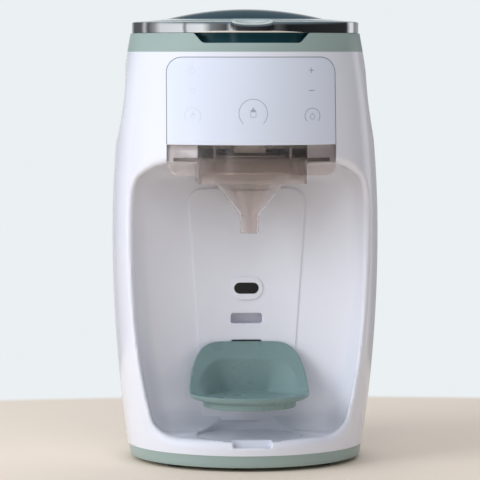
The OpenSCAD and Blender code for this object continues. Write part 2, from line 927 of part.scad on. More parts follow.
// Twin water nozzles on one manifold, that point down into the funnel
module water_nozzle() {
  color(dark) {
    for (s = [-1, 1])
      forward(nozzle_f, s * nozzle_x) tube(nozzle_r, 1.6, deck_z - manifold_h, deck_top + 1);
    difference() {
      forward(nozzle_f + 4, -nozzle_x, deck_z - manifold_h) cube([2 * nozzle_x, 8, manifold_h]);
      for (s = [-1, 1]) forward(nozzle_f, s * nozzle_x) cylinder(r = nozzle_r, h = shell_top);
    }
    rod_y(nipple_x, axis_y - nozzle_f + 3, deck_z - manifold_h / 2, hose_r, 7);
  }
}

// ---- Powder hopper ----------------------------------------------------------------------

hopper_wall = 2.4;
tray_z = shell_top - 4;
hopper_top = collar_top - 0.1;
wheel_z = hopper_z + hopper_floor_t + play;
wheel_t = 6;
wheel_r = drum_r - hopper_wall - 1.2;
stir_r = wheel_r * 0.6;
outlet_f = chute_f - drum_f;
hinge_half = 38;
lug_w = 12;
hinge_y = hopper_back_y + 6.2;
hinge_z = collar_top + 4.5;
hinge_r = 4;
pin_r = 2;

module hopper_plan(inset, z0, z1) {
  intersection() {
    forward(0, 0, z0) cylinder(r = hopper_r - inset, h = z1 - z0);
    before(hopper_back_y - inset);
  }
}

// A lug from the hopper's back edge up round the hinge pin
module hinge_lug(x0, x1) {
  translate([x0, 0, 0]) {
    rod_x(hinge_y, hinge_z, hinge_r, 0, x1 - x0);
    translate([0, hinge_y - 3, collar_top - 12]) cube([x1 - x0, 7, 12 + 4.5]);
    translate([0, hopper_back_y - 1, collar_top - 12]) cube([x1 - x0, 9, 10]);
  }
}

module powder_hopper() {
  color(smoke)
    difference() {
      union() {
        translate([0, drum_y, hopper_z]) cylinder(r = drum_r, h = tray_z - hopper_z + 1);
        hopper_plan(0, tray_z, hopper_top);
        intersection() {
          forward(0, 0, hopper_top - 1.9) cylinder(r = rebate_r, h = 1.9);
          before(hopper_back_y);
        }
        for (x = [-hinge_half, hinge_half - lug_w]) hinge_lug(x, x + lug_w);
      }
      translate([0, drum_y, hopper_z + hopper_floor_t]) cylinder(r = drum_r - hopper_wall, h = 200);
      hopper_plan(hopper_wall, tray_z + hopper_wall, hopper_top + 1);
      translate([0, drum_y, 0]) cylinder(r = hub_r + play, h = hopper_z + 4);
      forward(chute_f) cylinder(r = chute_r - 2.5, h = hopper_z + 10);
      rod_x(hinge_y, hinge_z, pin_r);
    }
}

module dosing_wheel() {
  color(white)
    translate([0, drum_y, 0])
      difference() {
        union() {
          translate([0, 0, wheel_z]) cylinder(r = wheel_r, h = wheel_t);
          translate([0, 0, hopper_z + 0.2]) cylinder(r = hub_r, h = wheel_t);
          translate([0, 0, wheel_z]) cylinder(r = hub_r, h = wheel_t + 5);
        }
        for (i = [0 : pocket_count - 1])
          rotate(30 + i * 360 / pocket_count) translate([outlet_f, 0, wheel_z - 1])
            cylinder(r = pocket_r, h = wheel_t + 2);
        dog_shape(fit, 0, gear_z + gear_w + 8);
      }
}

// Two swept arms that keep the powder moving
module stirrer() {
  z = wheel_z + wheel_t + 5;
  color(white)
    translate([0, drum_y, z]) {
      cylinder(r = hub_r - 1, h = 9);
      for (s = [0, 180])
        rotate(s) {
          rotate_extrude(angle = 70) translate([stir_r - 2, 0]) square([4, 8]);
          translate([0, -2, 1]) cube([stir_r, 4, 6]);
          rotate(68) translate([stir_r, -2, 1]) cube([wheel_r - stir_r - 4, 4, 6]);
        }
    }
}

// The plate over the outlet that strikes the pockets off level
module powder_guard() {
  z = wheel_z + wheel_t + 0.3;
  color(white)
    difference() {
      intersection() {
        translate([0, drum_y, z]) cylinder(r = drum_r - hopper_wall, h = 2);
        forward(chute_f, 0, z - 1) translate([-16, -30, 0]) cube([32, 48, 4]);
      }
      translate([0, drum_y, 0]) cylinder(r = hub_r + 3, h = shell_top);
    }
}

// ---- Lid ------------------------------------------------------------------------------------

lid_r = arc_r(lid_z) - 1;
rim_t = 7;
lid_back_y = hinge_y - 4.6;
window_r = lid_r - 27.5;
cover_r = lid_r - 0.6;
window_back_y = lid_back_y - 4;
window_flange = 3.4;
window_t = 2.2;
scoop_w = 31;
scoop_d = 5.5;
seal_r = lid_r - rim_t - fit - 0.1;
knuckle_w = 17.7;

module lid_plan(r, z0, z1, back = 0) {
  intersection() {
    forward(0, 0, z0) cylinder(r = r, h = z1 - z0, $fn = 120);
    before(lid_back_y - back);
  }
}

// The half-moon in the lid's front edge for a thumb
module thumb_scoop() {
  front_prism(lid_r - 12, lid_r + 10)
    translate([0, cover_top])
      polygon([for (t = [0 : 10 : 350]) [scoop_w / 2 * cos(t), scoop_d * sin(t)]]);
}

module lid_rim() {
  color(steel)
    difference() {
      union() {
        difference() {
          lid_plan(lid_r, lid_z, rim_top);
          lid_plan(lid_r - rim_t, lid_z - 1, rim_top + 1, rim_t);
        }
        for (s = [-1, 1]) {
          x0 = s > 0 ? hinge_half - lug_w - fit - knuckle_w : lug_w + fit - hinge_half;
          rod_x(hinge_y, hinge_z, hinge_r - 0.5, x0, x0 + knuckle_w);
          translate([x0, lid_back_y - 1, hinge_z - 2]) cube([knuckle_w, 5, 5]);
        }
      }
      rod_x(hinge_y, hinge_z, pin_r + play);
      thumb_scoop();
    }
}

module lid_cover() {
  color(sage)
    difference() {
      union() {
        intersection() {
          forward(0) rotate_extrude($fn = 96)
            polygon([[0, rim_top], [cover_r, rim_top], [cover_r - 1, rim_top + 0.5],
              [window_r + 3, cover_top], [0, cover_top]]);
          before(lid_back_y);
        }
        lid_plan(lid_r - rim_t - fit, lid_z + 2.4, rim_top + 0.1, rim_t + fit);
      }
      lid_plan(seal_r - 3.4, lid_z - 1, rim_top - 1.4, rim_t + 4);
      intersection() {
        forward(0, 0, lid_z) cylinder(r = window_r - window_flange - 0.6, h = 40);
        before(window_back_y - window_flange - 0.6);
      }
      intersection() {
        forward(0, 0, rim_top + 0.1) cylinder(r = window_r + fit, h = 40);
        before(window_back_y + fit);
      }
      thumb_scoop();
    }
}

// The domed see-through window: a shell of even thickness, cut flat at the hinge
module lid_window() {
  dome_r = (window_r * window_r + dome_h * dome_h) / (2 * dome_h);
  top = cover_top + dome_h;
  inner_r = dome_r - window_t;
  bore = window_r - window_flange;
  outer = [for (i = [0 : 8]) let (a = asin(window_r / dome_r) * (1 - i / 8))
    [dome_r * sin(a), top - dome_r + dome_r * cos(a)]];
  inner = [for (i = [0 : 8]) let (a = asin(bore / inner_r) * (1 - i / 8))
    [inner_r * sin(a), top - dome_r + inner_r * cos(a)]];
  color(dark)
    difference() {
      intersection() {
        forward(0) rotate_extrude($fn = 96)
          polygon(concat([[0, rim_top + 0.1], [window_r, rim_top + 0.1]], outer));
        before(window_back_y);
      }
      intersection() {
        forward(0) rotate_extrude($fn = 96) polygon(concat([[0, rim_top - 1], [bore, rim_top - 1]], inner));
        before(window_back_y - window_flange);
      }
    }
}

module lid_seal() {
  color(dark)
    difference() {
      lid_plan(seal_r, lid_z - 0.25, lid_z + 2.4, rim_t + fit + 0.1);
      lid_plan(seal_r - 3.4, lid_z - 1, lid_z + 4, rim_t + 4);
    }
}

module lid_pin() {
  color(steel)
    rod_x(hinge_y, hinge_z, pin_r, -hinge_half - 1, hinge_half + 1);
}

// ---- Funnel drawer ------------------------------------------------------------------------------

tray_top = ceiling_z + wall + 2.7;
tray_bottom = tray_top - 2.4;
rail_half = panel_w / 2 - 5.5;
skirt_z = plate_z - 7;
skirt_wall = 2.2;
skirt_front_f = plate_front - 9;
rib_x = skirt_half - 13;
rib_d = 22;
plate_grip = 1.2;
collar_bore = funnel_r + 1.2;

// The carriage's plan: square at the front, with large round corners at the back
module skirt_plan(inset, front) {
  r = 16 - inset;
  half = skirt_half - inset;
  back = drawer_back_f + inset;
  for (s = [-1, 1]) forward(back + r, s * (half - r)) circle(r = r);
  translate([-half, axis_y - front]) square([2 * half, front - back - r]);
  translate([r - half, axis_y - back - r - 1]) square([2 * (half - r), r + 1]);
}

module funnel_drawer() {
  color(smoke)
    difference() {
      union() {
        front_slab(panel_proud, 2.4, plate_z, plate_top - fit) plate_shape();
        // Tray that slides on the bay's ceiling
        intersection() {
          translate([-rail_half, axis_y - width / 2, tray_bottom])
            cube([2 * rail_half, width / 2 - drawer_back_f, 2.4]);
          barrel(plate_grip, 0, shell_top);
        }
        translate([0, 0, skirt_z]) linear_extrude(tray_bottom - skirt_z + 0.1) skirt_plan(0, skirt_front_f);
        // Ribs that brace the plate against the tray
        for (s = [-1, 1])
          intersection() {
            translate([s * rib_x - 1, axis_y - width / 2, plate_z + 2]) cube([2, rib_d, plate_h - 4]);
            barrel(plate_grip, 0, shell_top);
          }
      }
      translate([0, 0, skirt_z - 1])
        linear_extrude(tray_bottom - skirt_z + 1) skirt_plan(skirt_wall, skirt_front_f - skirt_wall);
      forward(funnel_f) cylinder(r = collar_bore + fit, h = shell_top);
    }
}

// The funnel plate's outline, with round lower corners
module plate_shape() {
  half = panel_w / 2;
  r = 8;
  for (s = [-1, 1]) translate([s * (half - r), plate_z + r]) circle(r = r);
  translate([-half, plate_z + r]) square([2 * half, plate_h - r]);
  translate([r - half, plate_z]) square([2 * (half - r), plate_h]);
}

module funnel_cone() {
  cone_top = plate_z;
  cone_low = cone_top - funnel_cone_h;
  low = cone_low - spout_h;
  t = 1.6;
  color(smoke)
    forward(funnel_f)
      rotate_extrude()
        polygon([[spout_r - t, low], [spout_r, low], [spout_r, cone_low], [funnel_r, cone_top],
          [collar_bore, cone_top + 1], [collar_bore, tray_top], [collar_bore + 3.4, tray_top],
          [collar_bore + 3.4, tray_top + 1.8], [collar_bore - t, tray_top + 1.8],
          [collar_bore - t, cone_top + 1.5], [funnel_r - t - 0.4, cone_top],
          [spout_r - t, cone_low + 0.3]]);
}

// ---- Bottle stand -----------------------------------------------------------------------------------

stand_z = floor_z + stand_rise;
stand_front = 44;
stand_rear = 40.5;
stand_f = bay_back_f + back_proud + 0.4 + stand_rear;
stand_inset = 8;
dish_back = stand_rear - stand_inset - 1;
stand_low_z = stand_z - 11;
stand_floor_z = stand_z - 3;
sections = 48;

// Half-length of the rim: blunt towards the back panel, round at the front
function rim_point(i, shrink) =
  let (t = i * 360 / sections, c = cos(t), s = sin(t), b = s > 0 ? stand_rear : stand_front,
    p = s > 0 ? 0.8 : 1)
  [(stand_w / 2 - shrink) * sign(c) * pow(abs(c), p), (b - shrink) * sign(s) * pow(abs(s), p)];
function ring_point(i, r) = let (t = i * 360 / sections) [r * cos(t), r * sin(t) - 1];
function ease(t) = let (u = max(0, min(1, t))) u * u * (3 - 2 * u);
function back_lift(y) = stand_back * ease(y / (stand_rear - 2));
function mixed(a, b, t) = a + (b - a) * t;

// The stand is lofted from its lower ring out to the rim, over the lip and down into the dish
module bottle_stand() {
  tiers = [
    for (i = [0 : sections - 1])
      let (ring = ring_point(i, stand_ring_r), rim = rim_point(i, 0), edge = rim_point(i, 1.2),
        inner = rim_point(i, stand_inset), disc = ring_point(i, stand_ring_r - 4),
        dish = [disc[0], min(disc[1], dish_back)],
        lift = back_lift(rim[1]), low = stand_low_z + stand_ring_h * 0.6)
      [
        concat(ring, [stand_low_z]),
        concat(ring, [low]),
        concat(mixed(ring, rim, 0.45), [low + 1.5 + lift * 0.22]),
        concat(mixed(ring, rim, 0.85), [stand_z - 4 + lift * 0.72]),
        concat(rim, [stand_z - 0.8 + lift]),
        concat(edge, [stand_z + lift]),
        concat(mixed(edge, inner, 0.35), [stand_z - 0.9 + lift * 0.93]),
        concat(inner, [stand_z - 2.2 + lift * 0.66]),
        concat(mixed(inner, dish, 0.5), [stand_floor_z + 0.2 + lift * 0.2]),
        concat(dish, [stand_floor_z])
      ]
  ];
  m = len(tiers[0]);
  points = concat(
    [for (k = [0 : m - 1]) for (i = [0 : sections - 1]) tiers[i][k]],
    [[0, -1, stand_low_z], [0, -1, stand_floor_z]]
  );
  low = m * sections;
  faces = concat(
    [for (k = [0 : m - 2]) for (i = [0 : sections - 1])
      let (j = (i + 1) % sections)
      each [[k * sections + i, (k + 1) * sections + j, k * sections + j],
        [k * sections + i, (k + 1) * sections + i, (k + 1) * sections + j]]],
    [for (i = [0 : sections - 1]) [low, i, (i + 1) % sections]],
    [for (i = [0 : sections - 1])
      [low + 1, (m - 1) * sections + (i + 1) % sections, (m - 1) * sections + i]]
  );
  color([0.38, 0.5, 0.5]) {
    forward(stand_f) polyhedron(points = points, faces = faces);
    stand_hook();
  }
}

// The tongue behind the stand that goes into a slot of the back wall
module stand_hook() {
  front_prism(bay_back_f - slot_depth + 2, stand_f - stand_rear + 4)
    translate([0, slot_zs[1]]) slot_shape(slot_w - 3, slot_h - 3, 1.5);
  front_prism(bay_back_f - slot_depth + 2, stand_f - stand_rear + 4)
    translate([0, slot_zs[0]]) slot_shape(slot_w - 3, slot_h - 3, 1.5);
}

// ---- Water tank ---------------------------------------------------------------------------------------

tank_z = dock_top + 0.5;
tank_top = shell_top - tank_drop - tank_lid_h;
tank_wall = 2.4;
port_y = tank_front_y + (depth / 2 - tank_front_y) * 0.32;
port_r = 13;
neck_r = 10;

module tank_plan(inset, z0, z1) {
  intersection() {
    tank_round(inset, z0, z1);
    behind(tank_front_y + inset);
  }
}

tank_hinge_y = tank_y + tank_r - (width / 2 - arc_r(tank_top)) - 4;
tank_hinge_z = tank_top + tank_lid_h / 2 + 0.5;
tank_lug_half = 22;
tank_lug_w = 6.6;
tank_hinge_r = 3.4;
tank_pin_r = 1.5;

// The lugs at the back of the tank that hold its lid's pin, on a shelf across the wall
module tank_lugs() {
  intersection() {
    tank_plan(0, tank_z, tank_top);
    translate([-tank_lug_half - 2, tank_hinge_y - 5, tank_top - 8]) cube([2 * tank_lug_half + 4, 40, 8]);
  }
  for (x = [-tank_lug_half, tank_lug_half - tank_lug_w]) {
    rod_x(tank_hinge_y, tank_hinge_z, tank_hinge_r, x, x + tank_lug_w);
    translate([x, tank_hinge_y - 2, tank_top - 4]) cube([tank_lug_w, 4, tank_hinge_z - tank_top + 4]);
  }
}

module water_tank() {
  color(smoke)
    difference() {
      union() {
        difference() {
          tank_plan(0, tank_z, tank_top);
          tank_plan(tank_wall, tank_z + tank_wall, tank_top + 1);
        }
        tank_lugs();
        translate([0, port_y, tank_z - 6]) cylinder(r = neck_r, h = 6 + tank_wall);
      }
      translate([0, port_y, 0]) cylinder(r = 5, h = tank_z + 10);
      translate([0, port_y, 0]) cylinder(r = neck_r - 2, h = tank_z - 1);
      rod_x(tank_hinge_y, tank_hinge_z, tank_pin_r);
    }
}

module tank_lid() {
  gap = fit - 0.1;
  x = tank_lug_half - tank_lug_w - fit;
  color(sage)
    difference() {
      union() {
        difference() {
          tank_plan(0, tank_top + gap, tank_top + tank_lid_h);
          tank_plan(tank_wall, tank_top - 1, tank_top + tank_lid_h - tank_wall);
          behind(tank_hinge_y + 0.4);
          translate([-tank_lug_half - 2, tank_hinge_y - 4.6, tank_top - 1])
            cube([2 * tank_lug_half + 4, 40, tank_lid_h + 2]);
        }
        rod_x(tank_hinge_y, tank_hinge_z, tank_hinge_r - 0.3, -x, x);
        translate([-x, tank_hinge_y - 7, tank_hinge_z]) cube([2 * x, 7, 2.6]);
      }
      rod_x(tank_hinge_y, tank_hinge_z, tank_pin_r + play);
      // Thumb dish in the lid's front edge
      translate([0, tank_front_y - 6, tank_top + tank_lid_h + 8]) sphere(r = 12);
    }
}

module tank_lid_pin() {
  color(steel)
    rod_x(tank_hinge_y, tank_hinge_z, tank_pin_r, -tank_lug_half - 0.5, tank_lug_half + 0.5);
}

// ---- Tank valve ------------------------------------------------------------------------------

tank_floor_top = tank_z + tank_wall;
cage_r = 12;
cage_h = 13 + valve_travel;
stem_r = 2;
guide_r = 2.5;
disc_h = 2;
spring_r = 5;
spring_wire = 0.7;
spring_turns = 4.5;
nipple_z = base_top + 4;

module valve_cage() {
  color(white)
    translate([0, port_y, tank_floor_top])
      difference() {
        cylinder(r = cage_r, h = cage_h);
        translate([0, 0, -1]) cylinder(r = cage_r - 2, h = cage_h - 1);
        cylinder(r = guide_r + play, h = cage_h + 1);
        // Water comes in through four windows
        for (a = [0, 90])
          rotate(a) translate([-cage_r - 1, -4.5, 1.5]) cube([2 * cage_r + 2, 9, cage_h - 6]);
      }
}

module valve_plunger() {
  color(dark)
    translate([0, port_y, 0]) {
      translate([0, 0, tank_floor_top]) cylinder(r = 7.5, h = disc_h);
      translate([0, 0, post_top + 0.1]) cylinder(r = stem_r, h = tank_floor_top - post_top + 1);
      translate([0, 0, tank_floor_top + 1]) cylinder(r = guide_r, h = cage_h + 2);
    }
}

// A tube of eight sides along points, each ring square to its neighbours' chord
function ring_frame(path, i) =
  let (n = len(path), t = unit(path[min(n - 1, i + 1)] - path[max(0, i - 1)]),
    side = unit(cross(t, abs(t[2]) > 0.9 ? [0, 1, 0] : [0, 0, 1])))
  [side, cross(side, t)];

module sweep(path, r) {
  n = len(path);
  sides = 8;
  points = [
    for (i = [0 : n - 1])
      let (f = ring_frame(path, i))
      for (k = [0 : sides - 1])
        path[i] + r * (cos(k * 360 / sides) * f[0] + sin(k * 360 / sides) * f[1])
  ];
  faces = concat(
    [for (i = [0 : n - 2]) for (k = [0 : sides - 1])
      let (a = i * sides + k, b = i * sides + (k + 1) % sides)
      each [[a, b, b + sides], [a, b + sides, a + sides]]],
    [for (k = [1 : sides - 2]) [0, k + 1, k]],
    [for (k = [1 : sides - 2]) let (e = (n - 1) * sides) [e, e + k, e + k + 1]]
  );
  polyhedron(points = points, faces = faces);
}

// The spring presses the plunger down from the roof of the cage
module valve_spring() {
  low = tank_floor_top + disc_h + spring_wire;
  high = tank_floor_top + cage_h - 2 - spring_wire;
  steps = 54;
  color(steel)
    translate([0, port_y, 0])
      sweep([for (i = [0 : steps]) let (a = 360 * spring_turns * i / steps)
        [spring_r * cos(a), spring_r * sin(a), low + (high - low) * i / steps]], spring_wire);
}

post_top = tank_z - 5;

// The cup in the dock that takes the tank's neck and pushes the plunger open
module valve_port() {
  color(dark)
    translate([0, port_y, 0]) {
      difference() {
        union() {
          translate([0, 0, base_top - 1.6]) cylinder(r = port_r - play, h = dock_top - base_top + 1.6);
          translate([0, 0, base_top - 1.6]) cylinder(r = port_r + 2.4, h = 1.6);
        }
        translate([0, 0, tank_z - 6.4]) cylinder(r = neck_r + fit, h = 20);
        translate([0, 0, nipple_z]) cylinder(r = 4, h = 20);
        rod_y(0, 0, nipple_z, hose_r - 1.2, -40);
      }
      translate([0, 0, nipple_z - 1]) cylinder(r = stem_r, h = post_top - nipple_z + 1);
      difference() {
        rod_y(0, 2 - port_r, nipple_z, hose_r, -8);
        rod_y(0, 0, nipple_z, hose_r - 1.2, -40);
      }
    }
}

// ---- Pump, heater and hoses ------------------------------------------------------------------------

pump_x = -34;
pump_y = bulkhead_y - 40;
pump_z = base_top + 7;
pump_r = 17;
pump_h = 24;
rotor_r = 12;
pump_top = pump_z + pump_h;
pump_in_z = pump_z + 8;
pump_out_z = pump_z + 16;

module pump_bores() {
  rod_y(0, 0, pump_in_z, hose_r - 1, 60);
  rod_y(0, 0, pump_out_z, hose_r - 1, -60);
}

module water_pump() {
  color(white)
    translate([pump_x, pump_y, 0]) {
      difference() {
        translate([0, 0, pump_z]) cylinder(r = pump_r, h = pump_h);
        translate([0, 0, pump_z + 3]) cylinder(r = rotor_r + 0.8, h = pump_h - 8);
        translate([0, 0, pump_z + 3]) cylinder(r = axle_r + play, h = pump_h);
        pump_bores();
      }
      difference() {
        union() {
          rod_y(0, pump_r - 1, pump_in_z, hose_r, 8);
          rod_y(0, 1 - pump_r, pump_out_z, hose_r, -8);
        }
        pump_bores();
      }
    }
}

module pump_rotor() {
  z = pump_z + 3 + 0.2;
  h = pump_h - 8 - 0.4;
  color(steel)
    translate([pump_x, pump_y, 0]) {
      translate([0, 0, z]) cylinder(r = 4.5, h = h);
      translate([0, 0, z]) cylinder(r = axle_r, h = pump_h + 6);
      for (i = [0 : 5]) rotate(i * 60) translate([0, -0.8, z]) cube([rotor_r, 1.6, h - 4]);
      translate([0, 0, z]) cylinder(r = rotor_r, h = 1.6);
    }
}

module pump_motor() {
  color(steel)
    translate([pump_x, pump_y, 0])
      difference() {
        union() {
          translate([0, 0, pump_top]) cylinder(r = 13, h = 30);
          translate([0, 0, pump_top + 29]) cylinder(r = 5, h = 4);
        }
        translate([0, 0, pump_top - 1]) cylinder(r = axle_r + play, h = 16);
      }
}

heater_x = 34;
heater_r = 16;
heater_cap_r = 10;
heater_z = base_top + 80;
heater_h = 110;

module heater() {
  color(steel)
    translate([heater_x, pump_y, heater_z]) {
      cylinder(r = heater_r, h = heater_h);
      translate([0, 0, -3]) cylinder(r1 = heater_cap_r, r2 = heater_r - 1, h = 3);
      translate([0, 0, heater_h]) cylinder(r1 = heater_r - 1, r2 = heater_cap_r, h = 3);
      for (z = [-11, heater_h + 2]) translate([0, 0, z]) cylinder(r = hose_r, h = 9);
    }
}

// Two clamps on a plate that is fixed to the bulkhead
module heater_bracket() {
  color(steel)
    difference() {
      union() {
        translate([heater_x - 14, bulkhead_y - wall - 2, heater_z + 8]) cube([28, 2, heater_h - 16]);
        for (z = [14, heater_h - 26]) {
          translate([heater_x, pump_y, heater_z + z]) cylinder(r = heater_r + 2, h = 12);
          translate([heater_x - 7, pump_y + heater_r, heater_z + z])
            cube([14, bulkhead_y - wall - pump_y - heater_r, 12]);
        }
      }
      translate([heater_x, pump_y, 0]) cylinder(r = heater_r, h = shell_top);
    }
}

// Rounds a route's corners: each span is a quadratic curve between the middles of two legs
function route(points) = concat([points[0]], [
  for (i = [1 : len(points) - 2])
    for (t = [0 : 0.2 : 1])
      let (a = (points[i - 1] + points[i]) / 2, b = points[i], c = (points[i] + points[i + 1]) / 2)
      if (t > 0 || i == 1) a * (1 - t) * (1 - t) + b * 2 * t * (1 - t) + c * t * t
], [points[len(points) - 1]]);

// Tank to pump
module hose_inlet() {
  color(dark)
    sweep(route([
      [0, port_y - port_r - 6, nipple_z], [0, port_y - port_r - 15, nipple_z],
      [-14, pump_y + pump_r + 18, nipple_z], [pump_x, pump_y + pump_r + 18, nipple_z + 1],
      [pump_x, pump_y + pump_r + 14, pump_in_z], [pump_x, pump_y + pump_r + 7, pump_in_z]
    ]), hose_r + 0.6);
}

// Pump to heater
module hose_heater() {
  y = pump_y - pump_r;
  color(dark)
    sweep(route([
      [pump_x, y - 7, pump_out_z], [pump_x, y - 14, pump_out_z], [pump_x + 14, y - 17, pump_out_z + 14],
      [heater_x - 10, y - 2, heater_z - 44], [heater_x, pump_y, heater_z - 34],
      [heater_x, pump_y, heater_z - 20], [heater_x, pump_y, heater_z - 11]
    ]), hose_r + 0.6);
}

// Heater to nozzles
module hose_outlet() {
  top = deck_z - manifold_h / 2;
  near = axis_y - nozzle_f + 10;
  color(dark)
    sweep(route([
      [heater_x, pump_y, heater_z + heater_h + 11], [heater_x, pump_y, heater_z + heater_h + 24],
      [heater_x, pump_y - 4, top - 8], [heater_x - 4, pump_y - 22, top], [heater_x - 6, near + 22, top],
      [nipple_x + 4, near + 15, top], [nipple_x, near + 8, top], [nipple_x, near, top]
    ]), hose_r + 0.4);
}

// ---- Electrics ---------------------------------------------------------------------------------------

post_h = 6;
power_x = -36;
power_z = base_top + 150;
power_w = 56;
power_h = 84;
power_posts = [
  for (x = [-1, 1]) for (z = [-1, 1])
    [power_x + x * (power_w / 2 - 5), power_z + z * (power_h / 2 - 5)]
];

module power_board() {
  y = bulkhead_y - wall - post_h;
  color(board_green) {
    translate([power_x - power_w / 2, y - 1.6, power_z - power_h / 2]) cube([power_w, 1.6, power_h]);
    translate([power_x - 20, y - 21.6, power_z - 32]) cube([30, 20.1, 26]);
    translate([power_x + 2, y - 14.6, power_z + 10]) cube([18, 13.1, 20]);
    for (z = [8, 24]) rod_y(power_x - 14, y - 1.5, power_z + z, 6, -18);
  }
}

// Strain-relief gland where the supply enters
module cord_gland() {
  color(dark)
    translate([0, gland_seat_y, gland_z]) rotate([-90, 0, 0]) {
      tube(gland_r, gland_bore, -7, 0);
      tube(gland_r + gland_lip, gland_bore, 0, 3);
      tube(gland_r - 1, gland_bore, 3, 7);
    }
}

base_tray();
feet();
base_screws();
front_housing();
rear_housing();
tank_dock();
back_panel();
sensor_bezel();
sensor_window();
sensor_board();
control_panel();
touch_film();
light_ring();
control_board();
collar();
deck_plate();
powder_chute();
powder_motor();
motor_pinion();
drive_gear();
water_nozzle();
powder_hopper();
dosing_wheel();
stirrer();
powder_guard();
lid_rim();
lid_cover();
lid_window();
lid_seal();
lid_pin();
funnel_drawer();
funnel_cone();
bottle_stand();
water_tank();
tank_lid();
tank_lid_pin();
valve_cage();
valve_plunger();
valve_spring();
valve_port();
water_pump();
pump_rotor();
pump_motor();
heater();
heater_bracket();
hose_inlet();
hose_heater();
hose_outlet();
power_board();
cord_gland();
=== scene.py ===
"""The looks of a baby formula maker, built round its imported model.

Lengths are in millimetres in the classes, in the frame of the CAD part: X to the right, Y to the
back, Z up. A mesh is turned into metres when its object is made.
"""

import json
import logging
import math
from collections.abc import Callable, Iterable, Sequence
from dataclasses import dataclass, field
from enum import Enum

import bpy
import numpy as np
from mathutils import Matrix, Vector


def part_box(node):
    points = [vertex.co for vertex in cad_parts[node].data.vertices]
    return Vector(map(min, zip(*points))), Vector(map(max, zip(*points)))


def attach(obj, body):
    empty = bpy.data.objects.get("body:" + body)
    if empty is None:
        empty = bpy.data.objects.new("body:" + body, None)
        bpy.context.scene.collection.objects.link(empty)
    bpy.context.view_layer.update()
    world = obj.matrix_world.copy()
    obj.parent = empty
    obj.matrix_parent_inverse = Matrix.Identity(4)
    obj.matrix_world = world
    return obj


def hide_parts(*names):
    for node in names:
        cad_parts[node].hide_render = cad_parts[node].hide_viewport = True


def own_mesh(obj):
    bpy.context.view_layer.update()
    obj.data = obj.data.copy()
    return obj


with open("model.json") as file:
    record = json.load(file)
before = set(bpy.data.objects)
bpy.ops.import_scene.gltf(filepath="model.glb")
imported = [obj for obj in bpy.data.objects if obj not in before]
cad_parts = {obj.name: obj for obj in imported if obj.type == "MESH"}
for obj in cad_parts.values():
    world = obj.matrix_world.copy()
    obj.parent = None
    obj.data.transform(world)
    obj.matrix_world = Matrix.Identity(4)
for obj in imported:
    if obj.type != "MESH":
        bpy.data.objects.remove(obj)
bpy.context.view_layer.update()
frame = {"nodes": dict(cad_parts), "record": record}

LOG = logging.getLogger("formula_maker")
MM = 0.001

Colour = tuple[float, float, float]
Point = tuple[float, float, float]
Outline = list[tuple[float, float]]
Places = tuple[np.ndarray, np.ndarray, np.ndarray]
Field = Callable[[np.ndarray, np.ndarray, np.ndarray], np.ndarray]
Face = Callable[[np.ndarray, np.ndarray, float], np.ndarray]


# ---- Mesh tools ---------------------------------------------------------------------------------


@dataclass
class Form:
    """A closed mesh in millimetres, before it becomes an object."""

    points: np.ndarray
    faces: list[tuple[int, ...]]

    def __add__(self, other: "Form") -> "Form":
        """Puts two forms into one mesh.

        Args:
            other: The form that is added.

        Returns:
            A form with the faces of both.
        """
        shift = len(self.points)
        faces = self.faces + [tuple(i + shift for i in f) for f in other.faces]
        return Form(np.vstack([self.points, other.points]), faces)

    def object(self, name: str) -> bpy.types.Object:
        """Makes the smooth-shaded object.

        Args:
            name: Name of the object and its mesh.

        Returns:
            The new object, in metres, linked to the scene.
        """
        mesh = bpy.data.meshes.new(name)
        mesh.from_pydata((self.points * MM).tolist(), [], [tuple(map(int, f)) for f in self.faces])
        mesh.validate()
        obj = bpy.data.objects.new(name, mesh)
        bpy.context.scene.collection.objects.link(obj)
        smooth(obj)
        return obj


def smooth(obj: bpy.types.Object, sharp: float = 32.0) -> None:
    """Shades an object smooth but for sharp edges.

    Args:
        obj: A mesh object.
        sharp: Angle in degrees from which an edge stays sharp.
    """
    obj.data.polygons.foreach_set("use_smooth", [True] * len(obj.data.polygons))
    obj.data.set_sharp_from_angle(angle=math.radians(sharp))


def full_turn(steps: int) -> np.ndarray:
    """Angles of even steps round a circle."""
    return np.arange(steps) * 2 * math.pi / steps


def loft(rings: Sequence[np.ndarray], closed: bool = False) -> Form:
    """Joins rings of equally many points with quads.

    Args:
        rings: Closed rings of points, each an array of (n, 3).
        closed: Whether the last ring joins the first; otherwise both ends get a cap.

    Returns:
        The closed form.
    """
    n, m = len(rings[0]), len(rings)
    faces: list[tuple[int, ...]] = []
    for k in range(m if closed else m - 1):
        a, b = k * n, (k + 1) % m * n
        faces += [(a + i, a + (i + 1) % n, b + (i + 1) % n, b + i) for i in range(n)]
    if not closed:
        faces.append(tuple(range(n - 1, -1, -1)))
        faces.append(tuple((m - 1) * n + i for i in range(n)))
    return Form(np.vstack(rings), faces)


def lathe(profile: Outline, y: float, turns: int = 96) -> Form:
    """Turns a closed outline of (radius, height) about an upright axis.

    Args:
        profile: The outline, counter-clockwise with the radius to the right.
        y: Place of the axis along Y; it stands at X 0.
        turns: Number of steps round the axis.

    Returns:
        The closed form.
    """
    rings = []
    for i in range(turns):
        t = -2 * math.pi * i / turns
        rings.append(np.array([(r * math.cos(t), y + r * math.sin(t), z) for r, z in profile]))
    return loft(rings, closed=True)


def disc_stack(levels: Outline, y: float, turns: int = 96) -> Form:
    """Stacks circles into a solid of revolution with flat ends.

    Args:
        levels: Pairs of radius and height, from the bottom up.
        y: Place of the axis along Y; it stands at X 0.
        turns: Number of steps round the axis.

    Returns:
        The closed form.
    """
    t = full_turn(turns)
    rings = [
        np.column_stack([r * np.cos(t), y + r * np.sin(t), np.full(turns, z)]) for r, z in levels
    ]
    return loft(rings)


